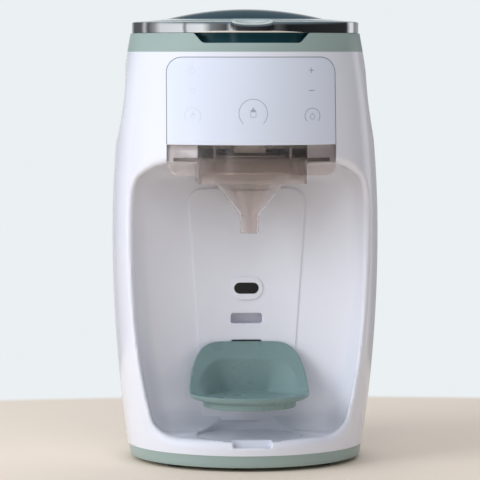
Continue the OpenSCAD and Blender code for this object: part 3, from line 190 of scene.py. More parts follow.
def at_height(plan: np.ndarray, z: float) -> np.ndarray:
    """Lays a plan outline of (n, 2) at a height."""
    return np.column_stack([plan, np.full(len(plan), z)])


def slab(plan: np.ndarray, z0: float, z1: float) -> Form:
    """Raises a plan outline from one height to another."""
    return loft([at_height(plan, z0), at_height(plan, z1)])


def block(low: Point, high: Point) -> Form:
    """A plain box between two corners, for cuts and for small arms."""
    (x0, y0, z0), (x1, y1, z1) = low, high
    return slab(np.array([(x0, y0), (x1, y0), (x1, y1), (x0, y1)], float), z0, z1)


def prism_y(outline: Outline, y0: float, y1: float) -> Form:
    """Extrudes an outline of the front view along Y.

    Args:
        outline: Pairs of x and z, counter-clockwise.
        y0: Place of the front end.
        y1: Place of the back end.

    Returns:
        The closed form.
    """
    flat = np.array(outline, float)
    return loft([np.column_stack([flat[:, 0], np.full(len(flat), y), flat[:, 1]]) for y in (y1, y0)])


def rod_x(y: float, z: float, radius: float, x0: float, x1: float) -> Form:
    """Makes a round rod along X.

    Args:
        y: Place of its axis along Y.
        z: Height of its axis.
        radius: Radius of the rod.
        x0: Place of its left end.
        x1: Place of its right end.

    Returns:
        The closed form.
    """
    sides = 40
    t = full_turn(sides)
    rings = [
        np.column_stack([np.full(sides, x), y + radius * np.cos(t), z + radius * np.sin(t)])
        for x in (x0, x1)
    ]
    return loft(rings)


def rounded_slot(cx: float, cz: float, width: float, height: float, radius: float) -> Outline:
    """Outlines a rounded rectangle in the front view.

    Args:
        cx: Place of its middle along X.
        cz: Height of its middle.
        width: Its width.
        height: Its height.
        radius: Radius of its corners.

    Returns:
        Pairs of x and z, counter-clockwise.
    """
    points = []
    for sx, sz, start in ((1, -1, -90), (1, 1, 0), (-1, 1, 90), (-1, -1, 180)):
        for k in range(7):
            a = math.radians(start + 15 * k)
            x = cx + sx * (width / 2 - radius) + radius * math.cos(a)
            points.append((x, cz + sz * (height / 2 - radius) + radius * math.sin(a)))
    return points


def d_plan(
    centre: float, radius: float, plane: float, corner: float, front: bool = False, arc: int = 96
) -> np.ndarray:
    """Plan of a circle that is cut flat across, with rounded corners.

    Args:
        centre: Place of the circle's centre along Y.
        radius: Radius of the circle.
        plane: Place of the flat along Y.
        corner: Radius of the two corners.
        front: Whether the part in front of the flat stays, and not the part behind it.
        arc: Number of steps along the circle.

    Returns:
        The outline as an array of (n, 2), counter-clockwise.
    """
    flat_steps, corner_steps = 24, 7
    sign = -1.0 if front else 1.0
    c, p = centre * sign, plane * sign
    h = p + corner - c
    w = math.sqrt((radius - corner) ** 2 - h**2)
    phi = math.asin(h / (radius - corner))
    points = [(-w + 2 * w * i / flat_steps, p) for i in range(flat_steps)]
    for i in range(corner_steps):
        t = -math.pi / 2 + (phi + math.pi / 2) * i / corner_steps
        points.append((w + corner * math.cos(t), p + corner + corner * math.sin(t)))
    for i in range(arc):
        t = phi + (math.pi - 2 * phi) * i / arc
        points.append((radius * math.cos(t), c + radius * math.sin(t)))
    for i in range(corner_steps):
        t = math.pi - phi + (math.pi / 2 + phi) * i / corner_steps
        points.append((-w + corner * math.cos(t), p + corner + corner * math.sin(t)))
    plan = np.array(points)
    return (plan * (1, -1))[::-1] if front else plan


class Boolean(Enum):
    """What one body does to another."""

    ADD = "UNION"
    CUT = "DIFFERENCE"
    KEEP = "INTERSECT"


def combine(obj: bpy.types.Object, how: Boolean, *forms: Form) -> None:
    """Applies booleans with closed forms to an object, one after another.

    Args:
        obj: The object that changes.
        how: What each form does to it.
        forms: The other bodies, in millimetres.
    """
    for form in forms:
        other = form.object("cutter")
        modifier = obj.modifiers.new("combine", "BOOLEAN")
        modifier.operation = how.value
        modifier.solver = "MANIFOLD"
        modifier.object = other
        bake(obj)
        bpy.data.objects.remove(other)


def bake(obj: bpy.types.Object) -> None:
    """Applies all the modifiers of an object.

    Args:
        obj: The object that changes.
    """
    graph = bpy.context.evaluated_depsgraph_get()
    mesh = bpy.data.meshes.new_from_object(obj.evaluated_get(graph))
    obj.modifiers.clear()
    old, obj.data = obj.data, mesh
    mesh.name = obj.name
    bpy.data.meshes.remove(old)


def round_edges(obj: bpy.types.Object, width: float, segments: int = 2) -> None:
    """Rounds the sharp edges of an object.

    Args:
        obj: The object that changes.
        width: Width of the round in millimetres.
        segments: Number of steps of the round.
    """
    bevel = obj.modifiers.new("round", "BEVEL")
    bevel.width = width * MM
    bevel.segments = segments
    bevel.limit_method = "ANGLE"
    bevel.angle_limit = math.radians(40.0)
    bevel.use_clamp_overlap = True
    bake(obj)
    smooth(obj, 50.0)


# ---- Solids from distances ----------------------------------------------------------------------


def round_max(a: np.ndarray, b: np.ndarray, radius: float) -> np.ndarray:
    """The part inside both distances, with its edge rounded."""
    inner = np.minimum(np.maximum(a, b), -radius)
    return inner + np.hypot(np.maximum(a + radius, 0), np.maximum(b + radius, 0))


def round_min(a: np.ndarray, b: np.ndarray, radius: float) -> np.ndarray:
    """The part inside either distance, with its hollow corner filled by a round."""
    return -round_max(-a, -b, radius)


def spaced(*stops: float) -> np.ndarray:
    """Lays out grid places with a step of their own between stops.

    Args:
        stops: Start, step, stop, step, stop and so on.

    Returns:
        The places from the first stop to the last.
    """
    places = [np.array([stops[0]])]
    for start, step, stop in zip(stops[::2], stops[1::2], stops[2::2]):
        count = max(1, round((stop - start) / step))
        places.append(start + (stop - start) * np.arange(1, count + 1) / count)
    return np.concatenate(places)


@dataclass(frozen=True)
class SurfaceNet:
    """Turns a distance, negative inside, into a mesh of quads on a grid."""

    places: Places
    relax: int = 2

    def form(self, distance: Field) -> Form:
        """Meshes the surface where the distance is zero.

        Args:
            distance: Distance to the solid in millimetres, negative inside.

        Returns:
            The closed form, with its points on the surface.
        """
        grid = np.meshgrid(*self.places, indexing="ij", sparse=True)
        value = np.array(np.broadcast_to(distance(*grid), [len(p) for p in self.places]))
        for axis in range(3):
            edge = np.moveaxis(value, axis, 0)
            edge[0] = edge[-1] = 1.0
        inside = value < 0
        cells = tuple(n - 1 for n in value.shape)
        total = np.zeros((math.prod(cells), 3))
        count = np.zeros(math.prod(cells))
        quads = []
        for axis in range(3):
            lower = np.moveaxis(inside, axis, 0)[:-1]
            upper = np.moveaxis(inside, axis, 0)[1:]
            found = np.argwhere(np.moveaxis(lower != upper, 0, axis))
            next_one = found.copy()
            next_one[:, axis] += 1
            a, b = value[tuple(found.T)], value[tuple(next_one.T)]
            spot = found.astype(float)
            spot[:, axis] += a / (a - b)
            u, v = (axis + 1) % 3, (axis + 2) % 3
            corners = []
            for du, dv in ((-1, -1), (0, -1), (0, 0), (-1, 0)):
                cell = found.copy()
                cell[:, u] += du
                cell[:, v] += dv
                flat = np.ravel_multi_index(tuple(cell.T), cells)
                corners.append(flat)
                count += np.bincount(flat, minlength=len(count))
                for c in range(3):
                    total[:, c] += np.bincount(flat, weights=spot[:, c], minlength=len(count))
            quad = np.column_stack(corners)
            flipped = ~inside[tuple(found.T)]
            quad[flipped] = quad[flipped][:, ::-1]
            quads.append(quad)
        used = np.flatnonzero(count)
        number = np.full(len(count), -1)
        number[used] = np.arange(len(used))
        index = total[used] / count[used, None]
        points = np.column_stack(
            [np.interp(index[:, c], np.arange(len(p)), p) for c, p in enumerate(self.places)]
        )
        faces = number[np.vstack(quads)]
        return Form(self.settled(points, faces, distance), faces.tolist())

    def settled(self, points: np.ndarray, faces: np.ndarray, distance: Field) -> np.ndarray:
        """Evens the points out and puts them on the surface.

        Args:
            points: Points of the mesh, (n, 3).
            faces: Its quads as numbers of points.
            distance: Distance to the solid.

        Returns:
            The moved points.
        """
        ends = np.vstack([faces[:, [k, (k + 1) % 4]] for k in range(4)])
        ends = np.vstack([ends, ends[:, ::-1]])
        here, there = ends[:, 0], ends[:, 1]
        count = len(points)
        degree = np.bincount(here, minlength=count)[:, None]
        points = on_surface(points, distance, 3)
        for _ in range(self.relax):
            near = [np.bincount(here, weights=points[there, c], minlength=count) for c in range(3)]
            points = on_surface(0.5 * points + 0.5 * np.column_stack(near) / degree, distance, 2)
        return points


def on_surface(points: np.ndarray, distance: Field, steps: int) -> np.ndarray:
    """Moves points along the gradient onto the surface of a distance.

    Args:
        points: The points, (n, 3).
        distance: Distance to the solid.
        steps: How often they are moved, by 1 mm at most.

    Returns:
        The moved points.
    """
    reach = 0.02
    for _ in range(steps):
        here = distance(*points.T)
        slope = np.empty_like(points)
        for c in range(3):
            moved = points.copy()
            moved[:, c] += reach
            slope[:, c] = (distance(*moved.T) - here) / reach
        size = np.maximum((slope**2).sum(1), 0.05)
        points = points - np.clip(here / size, -1.0, 1.0)[:, None] * slope
    return points


# ---- Finishes -----------------------------------------------------------------------------------


@dataclass(frozen=True)
class NodeKit:
    """Fills the node tree of a material or a world."""

    tree: bpy.types.NodeTree

    def add(
        self, kind: str, values: dict[str | int, object] | None = None, **settings: str
    ) -> bpy.types.Node:
        """Makes a node.

        Args:
            kind: Blender's name of the node, without the prefix that all have.
            values: Values of its inputs, by name or number.
            settings: Settings of the node itself.

        Returns:
            The new node.
        """
        node = self.tree.nodes.new("ShaderNode" + kind)
        for name, setting in settings.items():
            setattr(node, name, setting)
        self.put(node, values or {})
        return node

    def put(self, node: bpy.types.Node, values: dict[str | int, object]) -> None:
        """Sets inputs of a node, by name or number."""
        for name, value in values.items():
            node.inputs[name].default_value = value

    def link(
        self, source: bpy.types.Node, output: str | int, target: bpy.types.Node, way_in: str | int
    ) -> None:
        """Links an output of a node to an input of another."""
        self.tree.links.new(source.outputs[output], target.inputs[way_in])

    def ramp(self, *stops: tuple[float, Colour]) -> bpy.types.Node:
        """Makes a colour ramp.

        Args:
            stops: Place from 0 to 1 and colour of each stop, in order.

        Returns:
            The new node.
        """
        node = self.add("ValToRGB")
        elements = node.color_ramp.elements
        while len(elements) < len(stops):
            elements.new(0.5)
        for element, (place, _) in zip(elements, stops):
            element.position = place
        for element, (_, colour) in zip(elements, stops):
            element.color = (*colour, 1)
        return node


class Texture(Enum):
    """What a surface's fine detail looks like; the value is the scale of its relief."""

    POLISHED = 60.0
    SPARKED = 1900.0
    BRUSHED = 260.0
    PRINTED = 700.0


@dataclass(frozen=True)
class Finish:
    """A surface finish, as node-based material."""

    name: str
    colour: Colour
    roughness: float = 0.25
    texture: Texture = Texture.POLISHED
    drift: float = 0.03
    span: float = 0.05
    relief: float = 0.05
    metal: float = 0.0
    clear: float = 0.0
    ior: float = 1.46
    coat: float = 0.0
    specular: float = 0.5
    glow: float = 0.0

    def build(self) -> bpy.types.Material:
        """Makes the material, once.

        Returns:
            The material with this finish's name.
        """
        made = bpy.data.materials.get(self.name)
        if made:
            return made
        material = bpy.data.materials.new(self.name)
        material.use_nodes = True
        kit = NodeKit(material.node_tree)
        shader = kit.tree.nodes["Principled BSDF"]
        kit.put(
            shader,
            {
                "Metallic": self.metal,
                "Transmission Weight": self.clear,
                "IOR": self.ior,
                "Coat Weight": self.coat,
                "Coat Roughness": 0.04,
                "Specular IOR Level": self.specular,
            },
        )
        # Emission on a part that is no lamp is a painted glow.
        if self.glow:
            kit.put(shader, {"Emission Color": (*self.colour, 1), "Emission Strength": self.glow})
        place = kit.add("TexCoord")
        drawn_out = 40.0 if self.texture is Texture.BRUSHED else 1.0
        stretch = kit.add("Mapping", {"Scale": (1.0, 1.0, drawn_out)})
        kit.link(place, "Object", stretch, "Vector")
        self.add_colour(kit, place, shader)
        self.add_roughness(kit, stretch, shader)
        self.add_relief(kit, stretch, shader)
        return material

    def add_colour(self, kit: NodeKit, place: bpy.types.Node, shader: bpy.types.Node) -> None:
        """Lets the colour wander a little over the surface; clear plastic keeps one colour.

        Args:
            kit: Fills the material's tree.
            place: Texture coordinates.
            shader: The shader that takes the colour.
        """
        if self.clear:
            kit.put(shader, {"Base Color": (*self.colour, 1)})
            return
        scale = 420.0 if self.texture is Texture.PRINTED else 9.0
        cloud = kit.add("TexNoise", {"Scale": scale, "Detail": 4.0})
        low = tuple(max(0.0, c * (1 - self.drift)) for c in self.colour)
        high = tuple(min(1.0, c * (1 + self.drift)) for c in self.colour)
        ramp = kit.ramp((0.3, low), (0.7, high))
        kit.link(place, "Object", cloud, "Vector")
        kit.link(cloud, "Fac", ramp, "Fac")
        kit.link(ramp, "Color", shader, "Base Color")

    def add_roughness(self, kit: NodeKit, stretch: bpy.types.Node, shader: bpy.types.Node) -> None:
        """Lets the roughness wander, as handling and moulding do.

        Args:
            kit: Fills the material's tree.
            stretch: Mapping of the fine detail.
            shader: The shader that takes the roughness.
        """
        cloud = kit.add("TexNoise", {"Scale": 34.0, "Detail": 6.0})
        low, high = max(0.0, self.roughness - self.span), self.roughness + self.span
        band = kit.add("MapRange", {"From Min": 0.3, "From Max": 0.7, "To Min": low, "To Max": high})
        kit.link(stretch, "Vector", cloud, "Vector")
        kit.link(cloud, "Fac", band, "Value")
        kit.link(band, "Result", shader, "Roughness")

    def add_relief(self, kit: NodeKit, stretch: bpy.types.Node, shader: bpy.types.Node) -> None:
        """Adds the fine relief of the texture.

        Args:
            kit: Fills the material's tree.
            stretch: Mapping of the fine detail.
            shader: The shader that takes the normal.
        """
        grain = kit.add("TexNoise", {"Scale": self.texture.value, "Detail": 2.0})
        bump = kit.add("Bump", {"Strength": self.relief, "Distance": 0.0004})
        kit.link(stretch, "Vector", grain, "Vector")
        kit.link(grain, "Fac", bump, "Height")
        kit.link(bump, "Normal", shader, "Normal")


WHITE = Finish("white_gloss_plastic", (0.8, 0.815, 0.885), 0.18, coat=0.3, drift=0.012, relief=0.03)
PANEL = Finish(
    "panel_acrylic", (0.74, 0.79, 0.9), 0.14, coat=0.5, drift=0.01, span=0.02, relief=0.02
)
SAGE = Finish("sage_plastic", (0.33, 0.425, 0.4), 0.34, Texture.SPARKED, relief=0.08, span=0.06)
COVER = Finish(
    "pale_sage_gloss", (0.6, 0.68, 0.66), 0.12, coat=0.8, drift=0.01, span=0.02, relief=0.02
)
TEAL = Finish("stand_teal_plastic", (0.2, 0.3, 0.295), 0.3, Texture.SPARKED, relief=0.06)
CHROME = Finish(
    "chrome_plating", (0.8, 0.82, 0.84), 0.05, metal=1.0, drift=0.01, span=0.02, relief=0.01
)
STEEL = Finish("drawn_steel", (0.46, 0.47, 0.48), 0.3, Texture.BRUSHED, metal=1.0, span=0.08)
SMOKE = Finish(
    "smoked_acrylic",
    (0.965, 0.9, 0.87),
    0.03,
    clear=0.97,
    ior=1.38,
    coat=0.6,
    span=0.02,
    relief=0.02,
)
FROSTED = Finish(
    "frosted_smoke_acrylic", (0.78, 0.71, 0.68), 0.2, clear=0.72, ior=1.3, span=0.02, relief=0.03
)
TANK = Finish("tank_acrylic", (0.78, 0.86, 0.87), 0.07, clear=0.96, span=0.03, relief=0.02)
DEEP_TEAL = Finish(
    "deep_teal_acrylic", (0.03, 0.13, 0.16), 0.06, clear=0.35, span=0.02, relief=0.02
)
DOME = Finish(
    "teal_dome_acrylic", (0.006, 0.036, 0.055), 0.08, drift=0.05, span=0.02, relief=0.02, specular=0.2
)
BLACK = Finish("black_gloss_plastic", (0.008, 0.009, 0.012), 0.1, specular=0.4)
RUBBER = Finish("black_rubber", (0.022, 0.023, 0.024), 0.72, Texture.SPARKED, relief=0.25)
SILICONE = Finish("grey_silicone", (0.32, 0.33, 0.34), 0.5, Texture.SPARKED)
NATURAL = Finish("natural_plastic", (0.68, 0.68, 0.65), 0.4, Texture.SPARKED)
# The light guide gets a faint emission: painted glow, as it is no lamp.
GUIDE_PAINTED_GLOW = Finish("light_guide", (0.72, 0.8, 0.86), 0.2, glow=0.02)
BOARD = Finish(
    "circuit_board", (0.03, 0.16, 0.075), 0.36, Texture.PRINTED, drift=0.5, relief=0.3
)
INK = Finish("grey_print", (0.34, 0.37, 0.45), 0.5, Texture.SPARKED)
# Paler print for the signs on the left: the same ink with a painted reflection over it.
PALE_PRINT_PAINTED_REFLECTION = Finish("print_paled_by_painted_reflection", (0.6, 0.65, 0.76), 0.5, Texture.SPARKED)
# Dark sheet that shows round the touch panel: painted shadow in the seam gap.
SEAM_SHADOW = Finish("seam_shadow", (0.1, 0.105, 0.13), 0.6, Texture.SPARKED)

SLOT_FINISHES = {
    "white_gloss": WHITE,
    "panel_gloss": PANEL,
    "sage": SAGE,
    "stand_teal": TEAL,
    "chrome": CHROME,
    "steel": STEEL,
    "smoke": SMOKE,
    "teal_glass": DEEP_TEAL,
    "black_gloss": BLACK,
    "black_rubber": RUBBER,
    "silicone": SILICONE,
    "natural": NATURAL,
    "light_guide": GUIDE_PAINTED_GLOW,
    "circuit": BOARD,
}


def dress(obj: bpy.types.Object, finish: Finish) -> None:
    """Gives an object one finish all over."""
    obj.data.materials.clear()
    obj.data.materials.append(finish.build())


def place_piece(
    obj: bpy.types.Object, finish: Finish, body: str, nodes: Iterable[str] = ()
) -> None:
    """Dresses a new piece and sets it on its body.

    Args:
        obj: The piece.
        finish: Its finish.
        body: Name of the body that it moves with.
        nodes: Names of the CAD nodes that it stands for.
    """
    dress(obj, finish)
    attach(obj, body)
    for node in nodes:
        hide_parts(node)
    LOG.info("%s rides on %s, %d faces", obj.name, body, len(obj.data.polygons))


# ---- Shape of the machine -----------------------------------------------------------------------


@dataclass(frozen=True)
class Barrel:
    """The bulging body that most pieces follow; below its belly it is a little straighter."""

    half: float = 110.0
    arc: float = 900.0
    foot_arc: float = 1190.0
    belly: float = 185.0
    axis_y: float = -23.715
    tower_back: float = 75.7
    hopper_gap: float = 13.6
    under: float = 0.06

    @property
    def bulkhead_y(self) -> float:
        """Place of the housing's flat back along Y."""
        return self.axis_y + self.tower_back

    @property
    def hopper_back_y(self) -> float:
        """Place of the hopper's flat back along Y."""
        return self.bulkhead_y - self.hopper_gap

    def radius(self, z: np.ndarray | float, off: float = 0.0) -> np.ndarray | float:
        """Radius at a height, moved out by off."""
        arc = np.where(np.asarray(z) < self.belly, self.foot_arc, self.arc)
        return np.sqrt(arc**2 - (z - self.belly) ** 2) - arc + self.half - self.under + off

    def front(self, x: np.ndarray, z: np.ndarray, off: float) -> np.ndarray:
        """Place along Y of the front face at a place of the front view."""
        return self.axis_y - np.sqrt(np.maximum(self.radius(z, off) ** 2 - x**2, 0))


@dataclass(frozen=True)
class Bay:
    """The bottle bay that is cut into the front."""

    half: float = 98.5
    arc: float = 640.0
    wide_z: float = 195.0
    floor_z: float = 26.0
    ceiling_z: float = 246.0
    top_r: float = 33.0
    foot_r: float = 14.0
    back_r: float = 185.5
    back_f: float = 16.985

    @property
    def axis_f(self) -> float:
        """Distance forward to the axis of the back wall."""
        return self.back_f + self.back_r

    def outline(self, x: np.ndarray, z: np.ndarray) -> np.ndarray:
        """Distance to the bay's outline in the front view.

        Args:
            x: Places across.
            z: Heights.

        Returns:
            The distances, negative inside.
        """
        side = np.hypot(np.abs(x) - self.half + self.arc, z - self.wide_z) - self.arc
        upper = round_max(side, z - self.ceiling_z, self.top_r)
        return round_max(upper, self.floor_z - z, self.foot_r)

    def back(self, x: np.ndarray, f: np.ndarray) -> np.ndarray:
        """Distance to the back wall, negative in front of it."""
        return np.hypot(x, f - self.axis_f) - self.back_r

    def back_face(self, x: np.ndarray, z: np.ndarray, off: float) -> np.ndarray:
        """Place along Y of the back wall, moved forward by off; it is the same at every height."""
        return BARREL.axis_y - (self.axis_f - np.sqrt((self.back_r - off) ** 2 - x**2))


BARREL = Barrel()
BAY = Bay()


@dataclass(frozen=True)
class SideGrip:
    """The shallow round hollow in each side, for lifting the machine."""

    radius: float = 60.0
    depth: float = 5.0
    height: float = 300.0
    edge_r: float = 5.0

    def taken_from(
        self, solid: np.ndarray, x: np.ndarray, f: np.ndarray, z: np.ndarray
    ) -> np.ndarray:
        """Takes the hollows out of a solid.

        Args:
            solid: Distance to the solid.
            x: Places across.
            f: Distances forward of the barrel's axis.
            z: Heights.

        Returns:
            Distance to what is left.
        """
        centre = BARREL.radius(self.height) - self.depth + self.radius
        hollow = self.radius - np.sqrt((np.abs(x) - centre) ** 2 + f**2 + (z - self.height) ** 2)
        return round_max(solid, hollow, self.edge_r)


@dataclass(frozen=True)
class TankPlace:
    """Where the tank stands behind the tower, with the port that its valve sits in."""

    centre_y: float = 58.5
    narrower: float = 36.0
    port_y: float = 78.294

    def radius(self, z: np.ndarray | float) -> np.ndarray | float:
        """Radius of the tank's round at a height."""
        return BARREL.radius(z) - self.narrower


DOCK = TankPlace()


def sheet_form(
    rows: Outline, face: Face, front: float, back: float, columns: int = 56
) -> Form:
    """A sheet that follows a curved face, cut to a symmetrical outline of the front view.

    Args:
        rows: Height and half width of each row, from the bottom up.
        face: Gives the place along Y from x, z and the offset off the face.
        front: How far the sheet's front stands off the face.
        back: How far its back stands off the face.
        columns: Number of quads across.

    Returns:
        The closed form.
    """
    t = np.linspace(-1, 1, columns + 1)
    rings = []
    for z, half in rows:
        x = half * t
        level = np.full_like(x, z)
        near = np.column_stack([x, face(x, level, front), level])
        far = np.column_stack([x, face(x, level, back), level])[::-1]
        rings.append(np.vstack([near, far]))
    form = loft(rings)
    n = 2 * (columns + 1)
    form.faces = form.faces[:-2]
    for base, turn in ((0, -1), ((len(rows) - 1) * n, 1)):
        for i in range(columns):
            strip = (base + i, base + i + 1, base + n - 2 - i, base + n - 1 - i)
            form.faces.append(strip[::turn])
    return form


def cornered_rows(z0: float, z1: float, half: float, low_r: float, high_r: float) -> Outline:
    """Rows of a rectangle with rounded lower and upper corners.

    Args:
        z0: Height of the lower edge.
        z1: Height of the upper edge.
        half: Half width.
        low_r: Radius of the lower corners, or 0.
        high_r: Radius of the upper corners, or 0.

    Returns:
        Pairs of height and half width.
    """
    plain_step, corner_steps = 4.0, 8
    rows = []
    for k in range(corner_steps + 1 if low_r else 0):
        a = math.radians(90 * k / corner_steps)
        rows.append((z0 + low_r * (1 - math.cos(a)), half - low_r * (1 - math.sin(a))))
    if not low_r:
        rows.append((z0, half))
    start, stop = z0 + low_r, z1 - high_r
    count = max(1, round((stop - start) / plain_step))
    rows += [(start + (stop - start) * i / count, half) for i in range(1, count + 1)]
    for k in range(1, corner_steps + 1 if high_r else 0):
        a = math.radians(90 * k / corner_steps)
        rows.append((stop + high_r * math.sin(a), half - high_r * (1 - math.cos(a))))
    return rows


@dataclass
class Shell:
    """One half of the white housing: a thin wall between two heights."""

    z0: float = 13.0
    z1: float = 336.0
    seam_y: float = 6.285
    wall: float = 2.6
    grip: SideGrip = SideGrip()

    def outside(self, x: np.ndarray, y: np.ndarray, z: np.ndarray) -> np.ndarray:
        """Distance to the outside, which each half gives for itself."""
        raise NotImplementedError

    def inside(self, x: np.ndarray, y: np.ndarray, z: np.ndarray) -> np.ndarray:
        """Distance to the hollow of the shell."""
        return self.outside(x, y, z) + self.wall

    def moulding(
        self, name: str, fine: Places, coarse: Places, y0: float, y1: float
    ) -> bpy.types.Object:
        """Meshes the outside, hollows it and cuts it to its edges.

        Args:
            name: Name of the piece.
            fine: Grid of the outside.
            coarse: Grid of the hollow.
            y0: Place of its front edge along Y.
            y1: Place of its back edge along Y.

        Returns:
            The thin-walled object.
        """
        obj = SurfaceNet(fine).form(self.outside).object(name)
        combine(obj, Boolean.CUT, SurfaceNet(coarse, relax=0).form(self.inside))
        combine(obj, Boolean.KEEP, block((-120, y0, self.z0), (120, y1, self.z1)))
        return obj


@dataclass
class FrontHousing(Shell):
    """The white front shell with the bottle bay, its rounded mouth and the side grips."""

    mouth_r: float = 8.0
    corner_r: float = 15.0
    lip_r: float = 3.0
    recess_f: float = 55.985
    recess_r: float = 42.4
    recess_d: float = 2.0
    notch_half: float = 16.2
    notch_taper: float = 0.0255
    notch_start: float = 26.0
    notch_d: float = 6.5
    cut_top: float = 60.0
    slot_size: tuple[float, float] = (26.6, 9.4)
    slot_zs: tuple[float, ...] = (72.5, 94.6, 116.7)
    slot_d: float = 13.0
    sensor_z: float = 141.6
    seat_half: float = 4.0
    seat_r: float = 8.2
    seat_d: float = 10.5
    backing_d: float = 6.8
    backing_z: float = 252.0
    plate_half: float = 67.9
    plate_zs: tuple[float, float, float] = (242.0, 252.0, 262.05)
    carriage_half: float = 43.4
    carriage_z: tuple[float, float] = (244.0, 262.05)
    tray_half: float = 62.2
    tray_z: tuple[float, float] = (248.7, 251.5)
    film_half: float = 61.0
    film_zs: tuple[float, float, float] = (268.0, 296.0, 322.5)

    def skin(self, x: np.ndarray, y: np.ndarray, z: np.ndarray) -> np.ndarray:
        """Distance to the shell with the bay cut into it and the bay's mouth rounded.

        The bay's outline is laid round the barrel, so that the lip is as wide at the sides, where
        the barrel turns away, as it is in the middle.

        Args:
            x: Places across.
            y: Places along Y.
            z: Heights.

        Returns:
            The distances, negative inside.
        """
        f = BARREL.axis_y - y
        away = np.hypot(x, f) + 1e-6
        radius = BARREL.radius(z)
        cos, sin = f / away, np.abs(x) / away
        laid = radius * np.where(cos > 0, sin, 2 - sin)
        reach = 0.05
        edge = BAY.outline(laid, z)
        across = (BAY.outline(laid + reach, z) - edge) / reach * np.maximum(cos, 0.25)
        along = (BAY.outline(laid, z + reach) - edge) / reach
        edge = edge / np.sqrt(across**2 + along**2 + 1e-4)
        back = BAY.back(x, f)
        mouth = round_max(edge, back, self.corner_r)
        shell = round_max(-mouth, away - radius, self.mouth_r)
        bay = round_max(BAY.outline(x, z), back, self.corner_r)
        return round_max(shell, -bay, self.lip_r)

    def outside(self, x: np.ndarray, y: np.ndarray, z: np.ndarray) -> np.ndarray:
        """Distance to the shell's outside with its grips, the floor's cuts and the wall's slots.

        Args:
            x: Places across.
            y: Places along Y.
            z: Heights.

        Returns:
            The distances, negative inside.
        """
        f = BARREL.axis_y - y
        solid = self.grip.taken_from(self.skin(x, y, z), x, f, z)
        reach = f - self.recess_f
        low = BAY.floor_z - self.recess_d
        dish = np.hypot(x, reach) - self.recess_r
        dish = np.maximum(dish, np.maximum(low - z, z - self.cut_top))
        low = BAY.floor_z - self.notch_d
        notch = np.abs(x) - self.notch_half + self.notch_taper * reach
        notch = np.maximum(notch, np.maximum(low - z, z - self.cut_top))
        notch = np.maximum(notch, self.notch_start - reach)
        solid = round_max(solid, -dish, 0.5)
        solid = round_max(solid, -notch, 0.9)
        depth = BAY.back_f + 1 - f
        for height in self.slot_zs:
            u = np.abs(x) - self.slot_size[0] / 2
            v = np.abs(z - height) - self.slot_size[1] / 2
            pocket = np.maximum(depth - self.slot_d, -depth - 20)
            solid = np.maximum(solid, -np.maximum(round_max(u, v, 2.0), pocket))
        seat = np.hypot(np.maximum(np.abs(x) - self.seat_half, 0), z - self.sensor_z) - self.seat_r
        seat = np.maximum(seat, np.maximum(depth - self.seat_d, -depth - 20))
        return np.maximum(solid, -seat)

    def inside(self, x: np.ndarray, y: np.ndarray, z: np.ndarray) -> np.ndarray:
        """Distance to the hollow, which keeps clear of the funnel plate's backing.

        Args:
            x: Places across.
            y: Places along Y.
            z: Heights.

        Returns:
            The distances, negative inside.
        """
        away = np.hypot(x, BARREL.axis_y - y)
        flank = np.maximum(np.abs(z - self.backing_z) - 14, np.abs(x) - 72)
        backing = np.maximum(BARREL.radius(z) - self.backing_d - away, flank)
        return np.maximum(super().inside(x, y, z), -backing)

    def build(self) -> None:
        """Meshes the shell, cuts its openings and sets it on the housing."""
        heights = spaced(6.0, 1.7, 18.0, 0.9, 30.0, 1.7, 66.0, 1.4, 124.0, 1.7, 342.0)
        fine = (spaced(-112.0, 1.7, 112.0), spaced(-136.0, 1.7, 12.0), heights)
        coarse = (spaced(-112.0, 3.6, 112.0), spaced(-136.0, 3.6, 16.0), spaced(2.0, 3.6, 344.0))
        obj = self.moulding("front_shell", fine, coarse, -140, self.seam_y)
        combine(obj, Boolean.CUT, *self.openings())
        smooth(obj, 38.0)
        place_piece(obj, WHITE, "housing", ["front_housing"])

    def openings(self) -> list[Form]:
        """Gives the cuts for the moving drawer and for the panel.

        Returns:
            The plate's slot, the ways of its carriage and tray, and the room behind the panel.
        """
        deep = BARREL.axis_y - 20
        slot = sheet_form([(z, self.plate_half) for z in self.plate_zs], BARREL.front, 12.0, -3.6)
        ways = [
            block((-half, -140, low), (half, deep, high))
            for half, (low, high) in (
                (self.carriage_half, self.carriage_z),
                (self.tray_half, self.tray_z),
            )
        ]
        film = sheet_form([(z, self.film_half) for z in self.film_zs], BARREL.front, -0.8, -9.0)
        return [slot, *ways, film]


